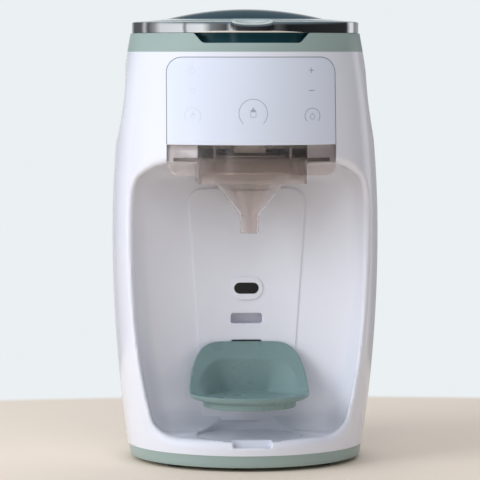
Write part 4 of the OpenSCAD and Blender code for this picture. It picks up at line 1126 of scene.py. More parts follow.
@dataclass
class RearHousing(Shell):
    """The white rear shell with the bulkhead and the dock that the tank stands on."""

    dock_top: float = 30.0
    port_r: float = 13.0
    gland_z: float = 21.5
    gland_r: float = 5.5

    def outside(self, x: np.ndarray, y: np.ndarray, z: np.ndarray) -> np.ndarray:
        """Distance to the outside of the shell.

        Args:
            x: Places across.
            y: Places along Y.
            z: Heights.

        Returns:
            The distances, negative inside.
        """
        f = BARREL.axis_y - y
        tower = round_max(np.hypot(x, f) - BARREL.radius(z), y - BARREL.bulkhead_y, 2.0)
        round_part = np.hypot(x, y - DOCK.centre_y) - DOCK.radius(z)
        dock = np.minimum(np.hypot(x, f) - BARREL.radius(z), round_part)
        solid = round_min(tower, round_max(dock, z - self.dock_top, 1.5), 1.5)
        return self.grip.taken_from(solid, x, f, z)

    def build(self) -> None:
        """Meshes the shell, bores it for port and cord gland and sets it on the housing."""
        heights = spaced(6.0, 2.0, 24.0, 1.0, 36.0, 2.4, 342.0)
        fine = (spaced(-112.0, 2.0, 112.0), spaced(0.0, 2.0, 136.0), heights)
        coarse = (spaced(-112.0, 4.0, 112.0), spaced(-4.0, 4.0, 136.0), spaced(2.0, 4.0, 344.0))
        obj = self.moulding("rear_shell", fine, coarse, self.seam_y, 140)
        bore = self.port_r + 0.05
        port = disc_stack([(bore, 20.0), (bore, 40.0)], DOCK.port_y, turns=64)
        seat = rounded_slot(0, self.gland_z, 2 * self.gland_r, 2 * self.gland_r, self.gland_r - 0.001)
        combine(obj, Boolean.CUT, port, prism_y(seat, 100.0, 140.0))
        smooth(obj, 38.0)
        place_piece(obj, WHITE, "housing", ["rear_housing", "tank_dock"])


@dataclass
class BackWall:
    """The panel in the back wall of the bay, with its slots and the sensor's seat."""

    low_half: float = 36.0
    high_half: float = 49.0
    z0: float = 32.0
    z1: float = 224.0
    corner: float = 12.0
    proud: float = 0.9
    sunk: float = -1.5
    slot: tuple[float, float] = (25.8, 8.6)
    seat: tuple[float, float] = (22.5, 14.8)

    def rows(self) -> Outline:
        """Lays out the panel from the floor up to its rounded corners.

        Returns:
            Pairs of height and half width.
        """
        slope = (self.high_half - self.low_half) / (self.z1 - self.z0)
        top = self.z1 - self.corner
        rows = [(z, self.low_half + slope * (z - self.z0)) for z in np.linspace(self.z0, top, 40)]
        widest = rows[-1][1]
        for k in range(1, 10):
            a = math.radians(90 * k / 9)
            rows.append((top + self.corner * math.sin(a), widest - self.corner * (1 - math.cos(a))))
        return rows

    def build(self) -> None:
        """Builds the panel and cuts its slots and the sensor's seat."""
        obj = sheet_form(self.rows(), BAY.back_face, self.proud, self.sunk, 40)
        obj = obj.object("bay_back_panel")
        housing = FrontHousing()
        cuts = [rounded_slot(0, z, *self.slot, 2.0) for z in housing.slot_zs]
        cuts.append(rounded_slot(0, housing.sensor_z, *self.seat, self.seat[1] / 2 - 0.05))
        for cut in cuts:
            combine(obj, Boolean.CUT, prism_y(cut, BARREL.axis_y - 30, BARREL.axis_y))
        round_edges(obj, 0.45)
        place_piece(obj, WHITE, "housing", ["back_panel"])


@dataclass
class ControlPanel:
    """The glossy touch panel with its printed signs."""

    half: float = 67.5
    z0: float = 262.0
    z1: float = 331.5
    corner: float = 12.0
    proud: float = 0.4
    thick: float = 1.8
    seam: float = 0.5
    ring_line: float = 0.55
    fine_line: float = 0.42
    ink_top: float = 0.04
    ink_root: float = -0.2
    strokes: list[tuple[Outline, float]] = field(default_factory=list)

    def build(self) -> None:
        """Builds the panel, the dark sheet of painted seam shadow round it and the signs."""
        rows = cornered_rows(self.z0 + 0.15, self.z1, self.half, 0, self.corner)
        panel = sheet_form(rows, BARREL.front, self.proud, self.proud - self.thick)
        panel = panel.object("touch_panel")
        round_edges(panel, 0.3)
        place_piece(panel, PANEL, "housing", ["control_panel"])
        # The dark sheet that shows round the panel is painted shadow in the seam gap.
        corner = self.corner + self.seam
        rows = cornered_rows(self.z0 + 0.3, self.z1 + self.seam, self.half + self.seam, 0, corner)
        seam = sheet_form(rows, BARREL.front, 0.07, -0.5).object("panel_seam_shadow")
        place_piece(seam, SEAM_SHADOW, "housing")
        self.draw_main_signs()
        self.print_signs("panel_signs", INK)
        # The signs on the left get the paler print: painted reflection over the left of the panel.
        self.draw_left_signs()
        self.print_signs("panel_signs_left_painted_reflection", PALE_PRINT_PAINTED_REFLECTION)

    def draw_main_signs(self) -> None:
        """Lays out the signs in the middle and on the right."""
        self.arc(0.0, 287.2, 11.3, -47, 227, 0.5)
        self.bottle(0.0, 287.0, 4.4)
        self.line_to([(45.2, 321.2), (49.6, 321.2)], 0.7)
        self.line_to([(47.4, 319.0), (47.4, 323.4)], 0.7)
        self.line_to([(45.2, 305.2), (49.8, 305.2)], 0.75)
        self.arc(48.0, 285.0, 6.2, -40, 220, self.ring_line)
        self.drop(48.0, 284.3, 1.9)

    def draw_left_signs(self) -> None:
        """Lays out the signs on the left, which get a paler print colour that paints the reflection
        over them.
        """
        self.drop(-47.6, 321.0, 2.0)
        self.arc(-47.6, 304.8, 1.9, 0, 360, 0.4)
        self.arc(-47.4, 285.2, 6.2, -40, 220, self.ring_line)
        self.bottle(-47.4, 285.0, 2.8)

    def arc(self, x: float, z: float, r: float, start: float, stop: float, width: float) -> None:
        """Adds part of a ring to the signs.

        Args:
            x: Place of its centre across.
            z: Height of its centre.
            r: Radius of the ring.
            start: Angle in degrees where it starts, from the right.
            stop: Angle where it stops.
            width: Width of the line.
        """
        count = max(6, int(abs(stop - start) / 6))
        angles = np.radians(np.linspace(start, stop, count + 1))
        self.line_to([(x + r * math.cos(a), z + r * math.sin(a)) for a in angles], width)

    def line_to(self, points: Outline, width: float) -> None:
        """Adds a line through points to the signs."""
        self.strokes.append((points, width))

    def drop(self, x: float, z: float, size: float) -> None:
        """Adds a drop's outline to the signs.

        Args:
            x: Place of its middle across.
            z: Height of its middle.
            size: Its half width.
        """
        points = []
        for k in range(25):
            t = -math.pi * 0.5 + 2 * math.pi * k / 24
            pull = max(0.0, math.sin(t)) ** 3
            across = size * math.cos(t) * (1 - 0.8 * pull)
            points.append((x + across, z + size * (math.sin(t) + 0.55 * pull)))
        self.line_to(points, self.fine_line)

    def bottle(self, x: float, z: float, size: float) -> None:
        """Adds a feeding bottle's outline, its cap and its teat to the signs.

        Args:
            x: Place of its middle across.
            z: Height of its middle.
            size: Width of the bottle.
        """
        w = h = size * 0.5
        body = [(x - w, z + h * 0.6), (x - w, z - h), (x - w * 0.7, z - h * 1.25)]
        body += [(2 * x - px, pz) for px, pz in reversed(body)]
        self.line_to(body + [body[0]], self.fine_line)
        self.line_to([(x - w * 0.95, z + h * 1.05), (x + w * 0.95, z + h * 1.05)], size * 0.3)
        self.line_to([(x, z + h * 1.3), (x, z + h * 2.1)], size * 0.3)

    def ribbon(self, points: Outline, width: float) -> Form:
        """Turns one stroke into thin raised print on the panel.

        Args:
            points: Places of the front view that it runs through.
            width: Width of the line.

        Returns:
            The closed form.
        """
        path = np.array(points, float)
        ends = np.vstack([2 * path[0] - path[1], path, 2 * path[-1] - path[-2]])
        closed = bool(np.allclose(path[0], path[-1])) and len(path) > 4
        if closed:
            ends[0], ends[-1] = path[-2], path[1]
        way = ends[2:] - ends[:-2]
        way /= np.linalg.norm(way, axis=1)[:, None]
        side = np.column_stack([-way[:, 1], way[:, 0]]) * width / 2
        top, root = self.proud + self.ink_top, self.proud + self.ink_root
        rings = []
        for p, s in zip(path, side):
            corners = []
            for (px, pz), off in ((p + s, top), (p - s, top), (p - s, root), (p + s, root)):
                y = BARREL.front(np.array([px]), np.array([pz]), off)[0]
                corners.append((px, y, pz))
            rings.append(np.array(corners))
        return loft(rings[:-1] if closed else rings, closed)

    def print_signs(self, name: str, finish: Finish) -> None:
        """Prints the strokes drawn so far onto the panel, as one piece.

        Args:
            name: Name of the piece.
            finish: Finish of the print.
        """
        whole, *others = [self.ribbon(points, width) for points, width in self.strokes]
        for form in others:
            whole = whole + form
        place_piece(whole.object(name), finish, "housing")
        self.strokes.clear()


@dataclass
class BaseBand:
    """The sage band round the base tray, which follows the foot of the shells."""

    z0: float = 3.05
    z1: float = 12.98
    inset: float = 0.8
    thick: float = 5.4
    ease: float = 1.0

    def rounds(self, inset: float, ease: float, spare: float) -> list[Form]:
        """Gives the rounds of the tower and of the tank, filled.

        Args:
            inset: How far they stay inside the shells.
            ease: Rounding of the lower edge.
            spare: How far they reach past the band's heights.

        Returns:
            The two solids.
        """
        low, high = self.z0 - spare, self.z1 + spare
        levels = [(ease, low), (ease * 0.3, low + ease * 0.3), (0.0, low + ease + 0.01)]
        levels += [(0.0, 8.0), (0.0, high)]
        tower = [(float(BARREL.radius(max(z, 3.0))) - inset - cut, z) for cut, z in levels]
        tank = [(r - DOCK.narrower, z) for r, z in tower]
        centres = (BARREL.axis_y, DOCK.centre_y)
        return [disc_stack(part, y, turns=192) for part, y in zip((tower, tank), centres)]

    def build(self) -> None:
        """Builds the band and sets it on the housing."""
        tower, tank = self.rounds(self.inset, self.ease, 0.0)
        obj = tower.object("base_band")
        combine(obj, Boolean.ADD, tank)
        combine(obj, Boolean.CUT, *self.rounds(self.inset + self.thick, 0.0, 2.0))
        smooth(obj, 35.0)
        place_piece(obj, SAGE, "housing")


@dataclass
class Collar:
    """The sage collar between the housing and the lid."""

    z0: float = 336.0
    z1: float = 351.0
    corner: float = 2.0
    bore: float = 84.65
    rebate: float = 88.35
    rebate_d: float = 2.1
    back_y: float = BARREL.hopper_back_y + 0.3
    notch_w: float = 95.0
    notch_d: float = 8.0
    notch_low_r: float = 5.0
    notch_high_r: float = 3.0
    notch_lean: float = math.radians(50)
    hinge_half: float = 41.0
    hinge_wall: float = 2.6

    def notch(self) -> Outline:
        """Outlines the notch in the front, whose ends rise in an S-curve.

        Returns:
            Pairs of x and z, counter-clockwise.
        """
        low, lean = self.z1 - self.notch_d, self.notch_lean
        low_r, high_r, half = self.notch_low_r, self.notch_high_r, self.notch_w / 2
        rise = self.notch_d - (low_r + high_r) * (1 - math.cos(lean))
        foot = half - (low_r + high_r) * math.sin(lean) - rise / math.tan(lean)
        right = []
        for a in np.linspace(0, lean, 9):
            right.append((foot + low_r * math.sin(a), low + low_r * (1 - math.cos(a))))
        for a in np.linspace(lean, 0.05, 9):
            right.append((half - high_r * math.sin(a), self.z1 - high_r * (1 - math.cos(a))))
        right.append((half, self.z1 + 3))
        return right + [(-x, z) for x, z in reversed(right)]

    def inner_plan(self, radius: float) -> np.ndarray:
        """Plan of the bore or of the rebate over it."""
        return d_plan(BARREL.axis_y, radius, self.back_y, 0.5, True, 160)

    def build(self) -> None:
        """Builds the collar and cuts its bore, rebate, hinge room and notch."""
        rings = []
        for z in (self.z0 + 0.02, self.z0 + 5, self.z0 + 10, self.z1 - 0.02):
            radius = BARREL.radius(z)
            plan = d_plan(BARREL.axis_y, radius, BARREL.bulkhead_y, self.corner, True, 160)
            rings.append(at_height(plan, z))
        obj = loft(rings).object("collar_ring")
        inner_back = BARREL.bulkhead_y - self.hinge_wall
        combine(
            obj,
            Boolean.CUT,
            slab(self.inner_plan(self.bore), self.z0 - 2, self.z1 + 2),
            slab(self.inner_plan(self.rebate), self.z1 - self.rebate_d, self.z1 + 2),
            block((-self.hinge_half, 0, self.z0 - 1), (self.hinge_half, inner_back, self.z1 + 1)),
            prism_y(self.notch(), -140, BARREL.axis_y - 60),
        )
        round_edges(obj, 0.5)
        place_piece(obj, SAGE, "housing", ["collar"])


@dataclass
class Lid:
    """The lid: bright rim, pale cover ring and domed see-through window."""

    z0: float = 351.3
    rim_top: float = 359.8
    cover_top: float = 362.6
    dome: float = 8.4
    radius: float = 93.48
    rim_t: float = 7.0
    back_y: float = BARREL.hopper_back_y + 1.6
    hinge_y: float = BARREL.hopper_back_y + 6.2
    hinge_z: float = 355.5
    knuckle_r: float = 3.5
    knuckle_w: float = 17.7
    knuckle_xs: tuple[float, float] = (-25.7, 8.0)
    cover_inset: float = 7.3
    groove_inset: float = 10.8
    window_r: float = 65.98
    window_back: float = BARREL.hopper_back_y - 2.4
    window_t: float = 2.2
    flange: float = 3.4
    scoop_half: float = 16.5
    scoop_d: float = 2.5
    scoop_long: float = 12.0
    dish_half: float = 15.8
    dish_long: float = 12.5
    dish_d: float = 4.5

    @property
    def front_y(self) -> float:
        """Place of the rim's front along Y."""
        return BARREL.axis_y - self.radius

    def half_moon(self, half: float, depth: float, top: float) -> Outline:
        """Outlines the place for a thumb, seen from the front.

        Args:
            half: Half width of the half-moon.
            depth: How far it hangs below the rim's top.
            top: Height of its flat upper side.

        Returns:
            Pairs of x and z, counter-clockwise.
        """
        turns = [math.radians(t) for t in range(180, 361, 6)]
        outline = [(half * math.cos(t), self.rim_top + depth * math.sin(t)) for t in turns]
        return outline + [(half, top), (-half, top)]

    def scoop(self) -> Form:
        """The half-moon in the front edge for a thumb."""
        outline = self.half_moon(self.scoop_half, self.scoop_d, self.cover_top + 3)
        return prism_y(outline, self.front_y - 10, self.front_y + self.scoop_long)

    def tongue(self) -> Form:
        """The pale lining of the half-moon, as part of the cover."""
        outline = self.half_moon(self.scoop_half - 0.1, self.scoop_d - 0.05, self.rim_top + 0.9)
        return prism_y(outline, self.front_y + 0.25, self.front_y + self.scoop_long + 0.1)

    def scoop_dish(self) -> Form:
        """Gives the hollow of the half-moon, which rises towards the window.

        Returns:
            The closed form of the cut.
        """
        turns = full_turn(48)
        rings = []
        for a in np.linspace(0.06, math.pi / 2, 12):
            x = self.dish_half * math.sin(a) * np.cos(turns)
            y = self.front_y + self.dish_long * math.sin(a) * np.sin(turns)
            depth = self.dish_d * math.cos(a)
            rings.append(at_height(np.column_stack([x, y]), self.cover_top - depth))
        rings.append(rings[-1] + np.array([0, 0, 4.0]))
        return loft(rings)

    def plan(self, radius: float, back: float) -> np.ndarray:
        """Plan of the lid: round, and cut flat at the hinge."""
        return d_plan(BARREL.axis_y, radius, back, 1.0, True, 192)

    def ring(self, radius: float, z0: float, z1: float, back: float) -> Form:
        """A disc of the lid's plan between two heights."""
        return slab(self.plan(radius, back), z0, z1)

    def build(self) -> None:
        """Builds the rim, the thin dark ring under it, the cover and the window."""
        self.build_rim()
        self.build_rim_dark_ring()
        self.build_cover()
        self.build_window()

    def build_rim(self) -> None:
        """Builds the chromed rim with its hinge knuckles."""
        obj = self.ring(self.radius, self.z0, self.rim_top, self.back_y).object("lid_chrome_rim")
        inner_r, inner_back = self.radius - self.rim_t, self.back_y - self.rim_t
        bore = self.ring(inner_r, self.z0 - 1, self.rim_top + 1, inner_back)
        combine(obj, Boolean.CUT, bore, self.scoop())
        round_edges(obj, 0.7, segments=3)
        for x0 in self.knuckle_xs:
            x1 = x0 + self.knuckle_w
            knuckle = rod_x(self.hinge_y, self.hinge_z, self.knuckle_r, x0, x1)
            low, high = self.hinge_z - 2, self.hinge_z + 3
            arm = block((x0, self.back_y - 1.5, low), (x1, self.back_y + 4, high))
            combine(obj, Boolean.ADD, knuckle, arm)
        smooth(obj, 40.0)
        place_piece(obj, CHROME, "lid", ["lid_rim"])

    def build_rim_dark_ring(self) -> None:
        """Builds the thin dark ring in the gap under the rim."""
        # A thin black sheet between the rim and the collar, 0.22 mm thick.
        dark_ring = self.ring(self.radius - 0.9, self.z0 - 0.12, self.z0 + 0.1, self.back_y - 0.9)
        dark_ring = dark_ring.object("lid_rim_dark_ring")
        inner_r, inner_back = self.radius - self.rim_t, self.back_y - self.rim_t
        combine(dark_ring, Boolean.CUT, self.ring(inner_r, self.z0 - 1, self.z0 + 1, inner_back))
        place_piece(dark_ring, RUBBER, "lid")

    def build_cover(self) -> None:
        """Builds the cover ring round the window, with the lined and dished place for a thumb."""
        back = self.back_y - self.cover_inset
        top, above = self.rim_top, self.cover_top + 9
        foot = self.ring(self.radius - self.cover_inset, self.z0 + 2.4, top + 0.1, back)
        profile = [(self.radius - 0.6, top + 0.02), (self.radius - 0.9, top + 0.4)]
        profile += [(self.radius - 1.8, top + 0.62), (self.window_r + 3, self.cover_top)]
        cone = loft([at_height(self.plan(r, self.back_y), z) for r, z in profile])
        groove_back = self.back_y - self.groove_inset - 0.2
        groove = self.ring(self.radius - self.groove_inset, self.z0 - 1, top - 1.4, groove_back)
        lap = self.flange + 0.6
        well = self.ring(self.window_r - lap, self.z0, above, self.window_back - lap)
        seat = self.ring(self.window_r + 0.25, top + 0.1, above, self.window_back + 0.25)
        obj = foot.object("lid_cover_ring")
        combine(obj, Boolean.ADD, cone)
        combine(obj, Boolean.CUT, groove, well, seat, self.scoop())
        combine(obj, Boolean.ADD, self.tongue())
        combine(obj, Boolean.CUT, self.scoop_dish())
        round_edges(obj, 0.25)
        place_piece(obj, COVER, "lid", ["lid_cover"])

    def cap(self, radius: float, foot: float, sphere: float, top: float, back: float) -> Form:
        """A domed solid of the window's plan.

        Args:
            radius: Radius of the upright wall.
            foot: Height of the bottom.
            sphere: Radius of the dome.
            top: Height of the dome's top.
            back: Place of the flat back along Y.

        Returns:
            The closed form.
        """
        steps = 17
        reach = math.asin(radius / sphere)
        plan = d_plan(BARREL.axis_y, radius, back, 1.5, True, 160)
        centre = np.array([0, BARREL.axis_y])
        rings = [at_height(plan, foot)]
        for k in range(steps):
            share = sphere * math.sin(reach * (1 - k / steps)) / radius
            offset = (plan - centre) * share
            lift = np.linalg.norm(offset, axis=1)
            height = top - sphere + np.sqrt(np.maximum(sphere**2 - lift**2, 0))
            rings.append(np.column_stack([offset + centre, height]))
        return loft(rings)

    def build_window(self) -> None:
        """Builds the window as a shell of even thickness."""
        top = self.cover_top + self.dome - 0.02
        sphere = (self.window_r**2 + self.dome**2) / (2 * self.dome)
        outer = self.cap(self.window_r, self.rim_top + 0.1, sphere, top, self.window_back)
        hollow = self.cap(
            self.window_r - self.flange,
            self.rim_top - 1,
            sphere - self.window_t,
            top - self.window_t,
            self.window_back - self.flange,
        )
        obj = outer.object("lid_dome")
        combine(obj, Boolean.CUT, hollow)
        smooth(obj, 30.0)
        place_piece(obj, DOME, "lid", ["lid_window"])


@dataclass
class FunnelDrawer:
    """The smoked drawer plate with its carriage, tray and funnel."""

    half: float = 67.5
    z0: float = 238.0
    z1: float = 261.7
    corner: float = 8.0
    skirt_half: float = 43.0
    skirt_z: float = 231.0
    skirt_back_f: float = 21.0
    skirt_front_f: float = 99.8
    skirt_corner: float = 16.0
    skirt_wall: float = 2.2
    tray_z: tuple[float, float] = (248.9, 251.3)
    rail_half: float = 62.0
    rib_x: float = 30.0
    rib_front_f: float = 101.5
    rib_long: float = 13.5
    rib_z: tuple[float, float] = (240.0, 259.7)
    funnel_f: float = 59.985
    bore: float = 35.9
    cone_r: float = 34.0
    cone_long: float = 34.4
    spout_r: tuple[float, float] = (6.0, 7.6)
    spout_end: float = 48.4
    lip_r: float = 39.0

    def skirt(self, inset: float) -> np.ndarray:
        """Plan of the carriage, square in front with large round corners at the back.

        Args:
            inset: How far it is moved in.

        Returns:
            The outline as an array of (n, 2), counter-clockwise.
        """
        r, half = self.skirt_corner - inset, self.skirt_half - inset
        front = BARREL.axis_y - self.skirt_front_f + inset
        back = BARREL.axis_y - self.skirt_back_f - inset
        points = [(-half, front), (half, front)]
        for cx, start in ((half - r, 0), (r - half, 90)):
            for k in range(9):
                a = math.radians(start + 90 * k / 8)
                points.append((cx + r * math.cos(a), back - r + r * math.sin(a)))
        return np.array(points)

    def tray_plan(self) -> np.ndarray:
        """Plan of the tray, whose front follows the plate.

        Returns:
            The outline as an array of (n, 2), counter-clockwise.
        """
        across = np.linspace(-self.rail_half, self.rail_half, 25)
        front = BARREL.front(across, np.full(len(across), self.tray_z[0]), -2.1)
        back = BARREL.axis_y - self.skirt_back_f
        left, right = (-self.rail_half, back), (self.rail_half, back)
        return np.vstack([left, np.column_stack([across, front]), right])

    def build(self) -> None:
        """Builds the plate, the carriage and the funnel."""
        self.build_plate()
        self.build_carriage()
        self.build_cone()

    def build_plate(self) -> None:
        """Builds the smoked plate that closes the front."""
        rows = cornered_rows(self.z0, self.z1, self.half, self.corner, 0)
        obj = sheet_form(rows, BARREL.front, 0.4, -2.0).object("funnel_drawer_plate")
        round_edges(obj, 0.35)
        smooth(obj, 35.0)
        place_piece(obj, SMOKE, "drawer", ["funnel_drawer"])

    def build_carriage(self) -> None:
        """Builds the tray with the skirt below it, the ribs to the plate and the funnel's hole."""
        low, high = self.tray_z
        outer, inner = self.skirt(0), self.skirt(self.skirt_wall)
        levels = ((outer, self.skirt_z), (outer, low + 0.5), (inner, low + 0.5), (inner, self.skirt_z))
        wall = loft([at_height(plan, z) for plan, z in levels], closed=True)
        front = BARREL.axis_y - self.rib_front_f
        ribs = [
            block((x - 1, front, self.rib_z[0]), (x + 1, front + self.rib_long, self.rib_z[1]))
            for x in (-self.rib_x, self.rib_x)
        ]
        hole = disc_stack([(self.bore, 220.0), (self.bore, 270.0)], BARREL.axis_y - self.funnel_f)
        obj = slab(self.tray_plan(), low, high).object("funnel_carriage")
        combine(obj, Boolean.ADD, wall, *ribs)
        combine(obj, Boolean.CUT, hole)
        smooth(obj, 35.0)
        place_piece(obj, FROSTED, "drawer", ["funnel_drawer"])

    def build_cone(self) -> None:
        """Builds the funnel with its spout and the lip that it hangs by."""
        top, low, end = self.z0, self.z0 - self.cone_long, self.z0 - self.spout_end
        inner, outer = self.spout_r
        lip_low = self.tray_z[1]
        profile = [(inner, end + 0.3), (inner + 0.3, end), (outer - 0.3, end), (outer, end + 0.3)]
        profile += [(outer, low), (self.cone_r, top - 0.5), (self.cone_r + 1, top + 0.3)]
        profile += [(self.cone_r + 1.6, top + 1.4), (self.cone_r + 1.6, lip_low)]
        profile += [(self.lip_r, lip_low), (self.lip_r, lip_low + 1.5)]
        profile += [(self.lip_r - 0.4, lip_low + 1.8), (self.cone_r, lip_low + 1.8)]
        profile += [(self.cone_r, top + 1.6), (self.cone_r - 1.6, top), (inner, low + 0.3)]
        cone = lathe(profile, BARREL.axis_y - self.funnel_f, 120).object("funnel_and_spout")
        place_piece(cone, SMOKE, "drawer", ["funnel_cone"])


@dataclass
class BottleStand:
    """The teal stand: a scoop with a high back, hooked into the back wall."""

    z: float = 60.0
    width: float = 98.0
    front: float = 44.0
    rear: float = 40.5
    forward: float = 58.785
    ring_r: float = 38.0
    ring_h: float = 7.0
    back: float = 38.0
    sections: int = 96
    hook_size: tuple[float, float] = (22.8, 5.6)

    def rim(self, shrink: float) -> np.ndarray:
        """Plan of the rim: blunt at the back panel, round at the front.

        Args:
            shrink: How far it is moved in.

        Returns:
            The outline as an array of (n, 2).
        """
        t = full_turn(self.sections)
        c, s = np.cos(t), np.sin(t)
        reach = np.where(s > 0, self.rear, self.front) - shrink
        power = np.where(s > 0, 0.8, 1.0)
        x = (self.width / 2 - shrink) * np.sign(c) * np.abs(c) ** power
        return np.column_stack([x, reach * np.sign(s) * np.abs(s) ** power])

    def ring(self, radius: float) -> np.ndarray:
        """Plan of the round lower ring."""
        t = full_turn(self.sections)
        return np.column_stack([radius * np.cos(t), radius * np.sin(t) - 1])

    def placed(self, plan: np.ndarray, height: np.ndarray) -> np.ndarray:
        """Sets a plan at its place in the bay, at a height for each point."""
        return np.column_stack([plan[:, 0], BARREL.axis_y - self.forward + plan[:, 1], height])

    def build(self) -> None:
        """Lofts the stand from its ring over the rim down into the dish, and adds its hooks."""
        rim, edge = self.rim(0.05), self.rim(1.2)
        t = np.clip(rim[:, 1] / (self.rear - 2), 0, 1)
        rise = t * t * (3 - 2 * t)
        lift = self.back * rise
        inset = (4.5 + 6.0 * rise)[:, None]
        inner = rim * (1 - inset / np.linalg.norm(rim, axis=1)[:, None])
        ring, dish = self.ring(self.ring_r), self.ring(self.ring_r - 4)
        dish[:, 1] = np.minimum(dish[:, 1], self.rear - 11.5)
        top, low = self.z, self.z - 11
        step = low + self.ring_h * 0.6
        tiers = (  # plan, height in front, share of the back's lift, tightness of the crease
            (ring - np.sign(ring) * 0.6, low, 0.0, 0.6),
            (ring, low + 0.6, 0.0, 0.0),
            (ring, step, 0.0, 0.7),
            (between(ring, rim, 0.06), step + 0.9, 0.0, 0.0),
            (between(ring, rim, 0.45), step + 1.5, 0.22, 0.0),
            (between(ring, rim, 0.85), top - 4, 0.72, 0.0),
            (between(ring, rim, 0.97), top - 1.6, 0.95, 0.0),
            (rim, top - 0.8, 1.0, 0.5),
            (between(rim, edge, 0.5), top - 0.1, 1.0, 0.0),
            (edge, top - 0.2, 1.0, 0.6),
            (between(edge, inner, 0.5), top - 0.7, 0.84, 0.0),
            (inner, top - 1.2, 0.68, 1.0),
            (between(inner, dish, 0.18), top - 1.8, 0.56, 0.0),
            (between(inner, dish, 0.5), top - 2.4, 0.26, 0.0),
            (between(inner, dish, 0.85), top - 3 + 0.1, 0.05, 0.0),
            (dish, top - 3, 0.0, 0.6),
        )
        rings = [self.placed(plan, height + lift * share) for plan, height, share, _ in tiers]
        obj = loft(rings).object("stand_scoop")
        self.crease(obj, [tight for *_, tight in tiers])
        fine = obj.modifiers.new("fine", "SUBSURF")
        fine.levels = fine.render_levels = 2
        bake(obj)
        near = BARREL.axis_y - self.forward + self.rear - 4
        for z in FrontHousing().slot_zs[:2]:
            hook = prism_y(rounded_slot(0, z, *self.hook_size, 1.5), near, BARREL.axis_y - 7.2)
            combine(obj, Boolean.ADD, hook)
        smooth(obj, 45.0)
        place_piece(obj, TEAL, "stand", ["bottle_stand"])

    def crease(self, obj: bpy.types.Object, tightness: list[float]) -> None:
        """Holds some rings of the loft tighter when it is subdivided.

        Args:
            obj: The lofted object.
            tightness: Tightness of each ring, from 0 to 1.
        """
        layer = obj.data.attributes.new("crease_edge", "FLOAT", "EDGE")
        for edge in obj.data.edges:
            a, b = (corner // self.sections for corner in edge.vertices)
            if a == b:
                layer.data[edge.index].value = tightness[a]


def between(a: np.ndarray, b: np.ndarray, share: float) -> np.ndarray:
    """A plan between two plans."""
    return a + (b - a) * share


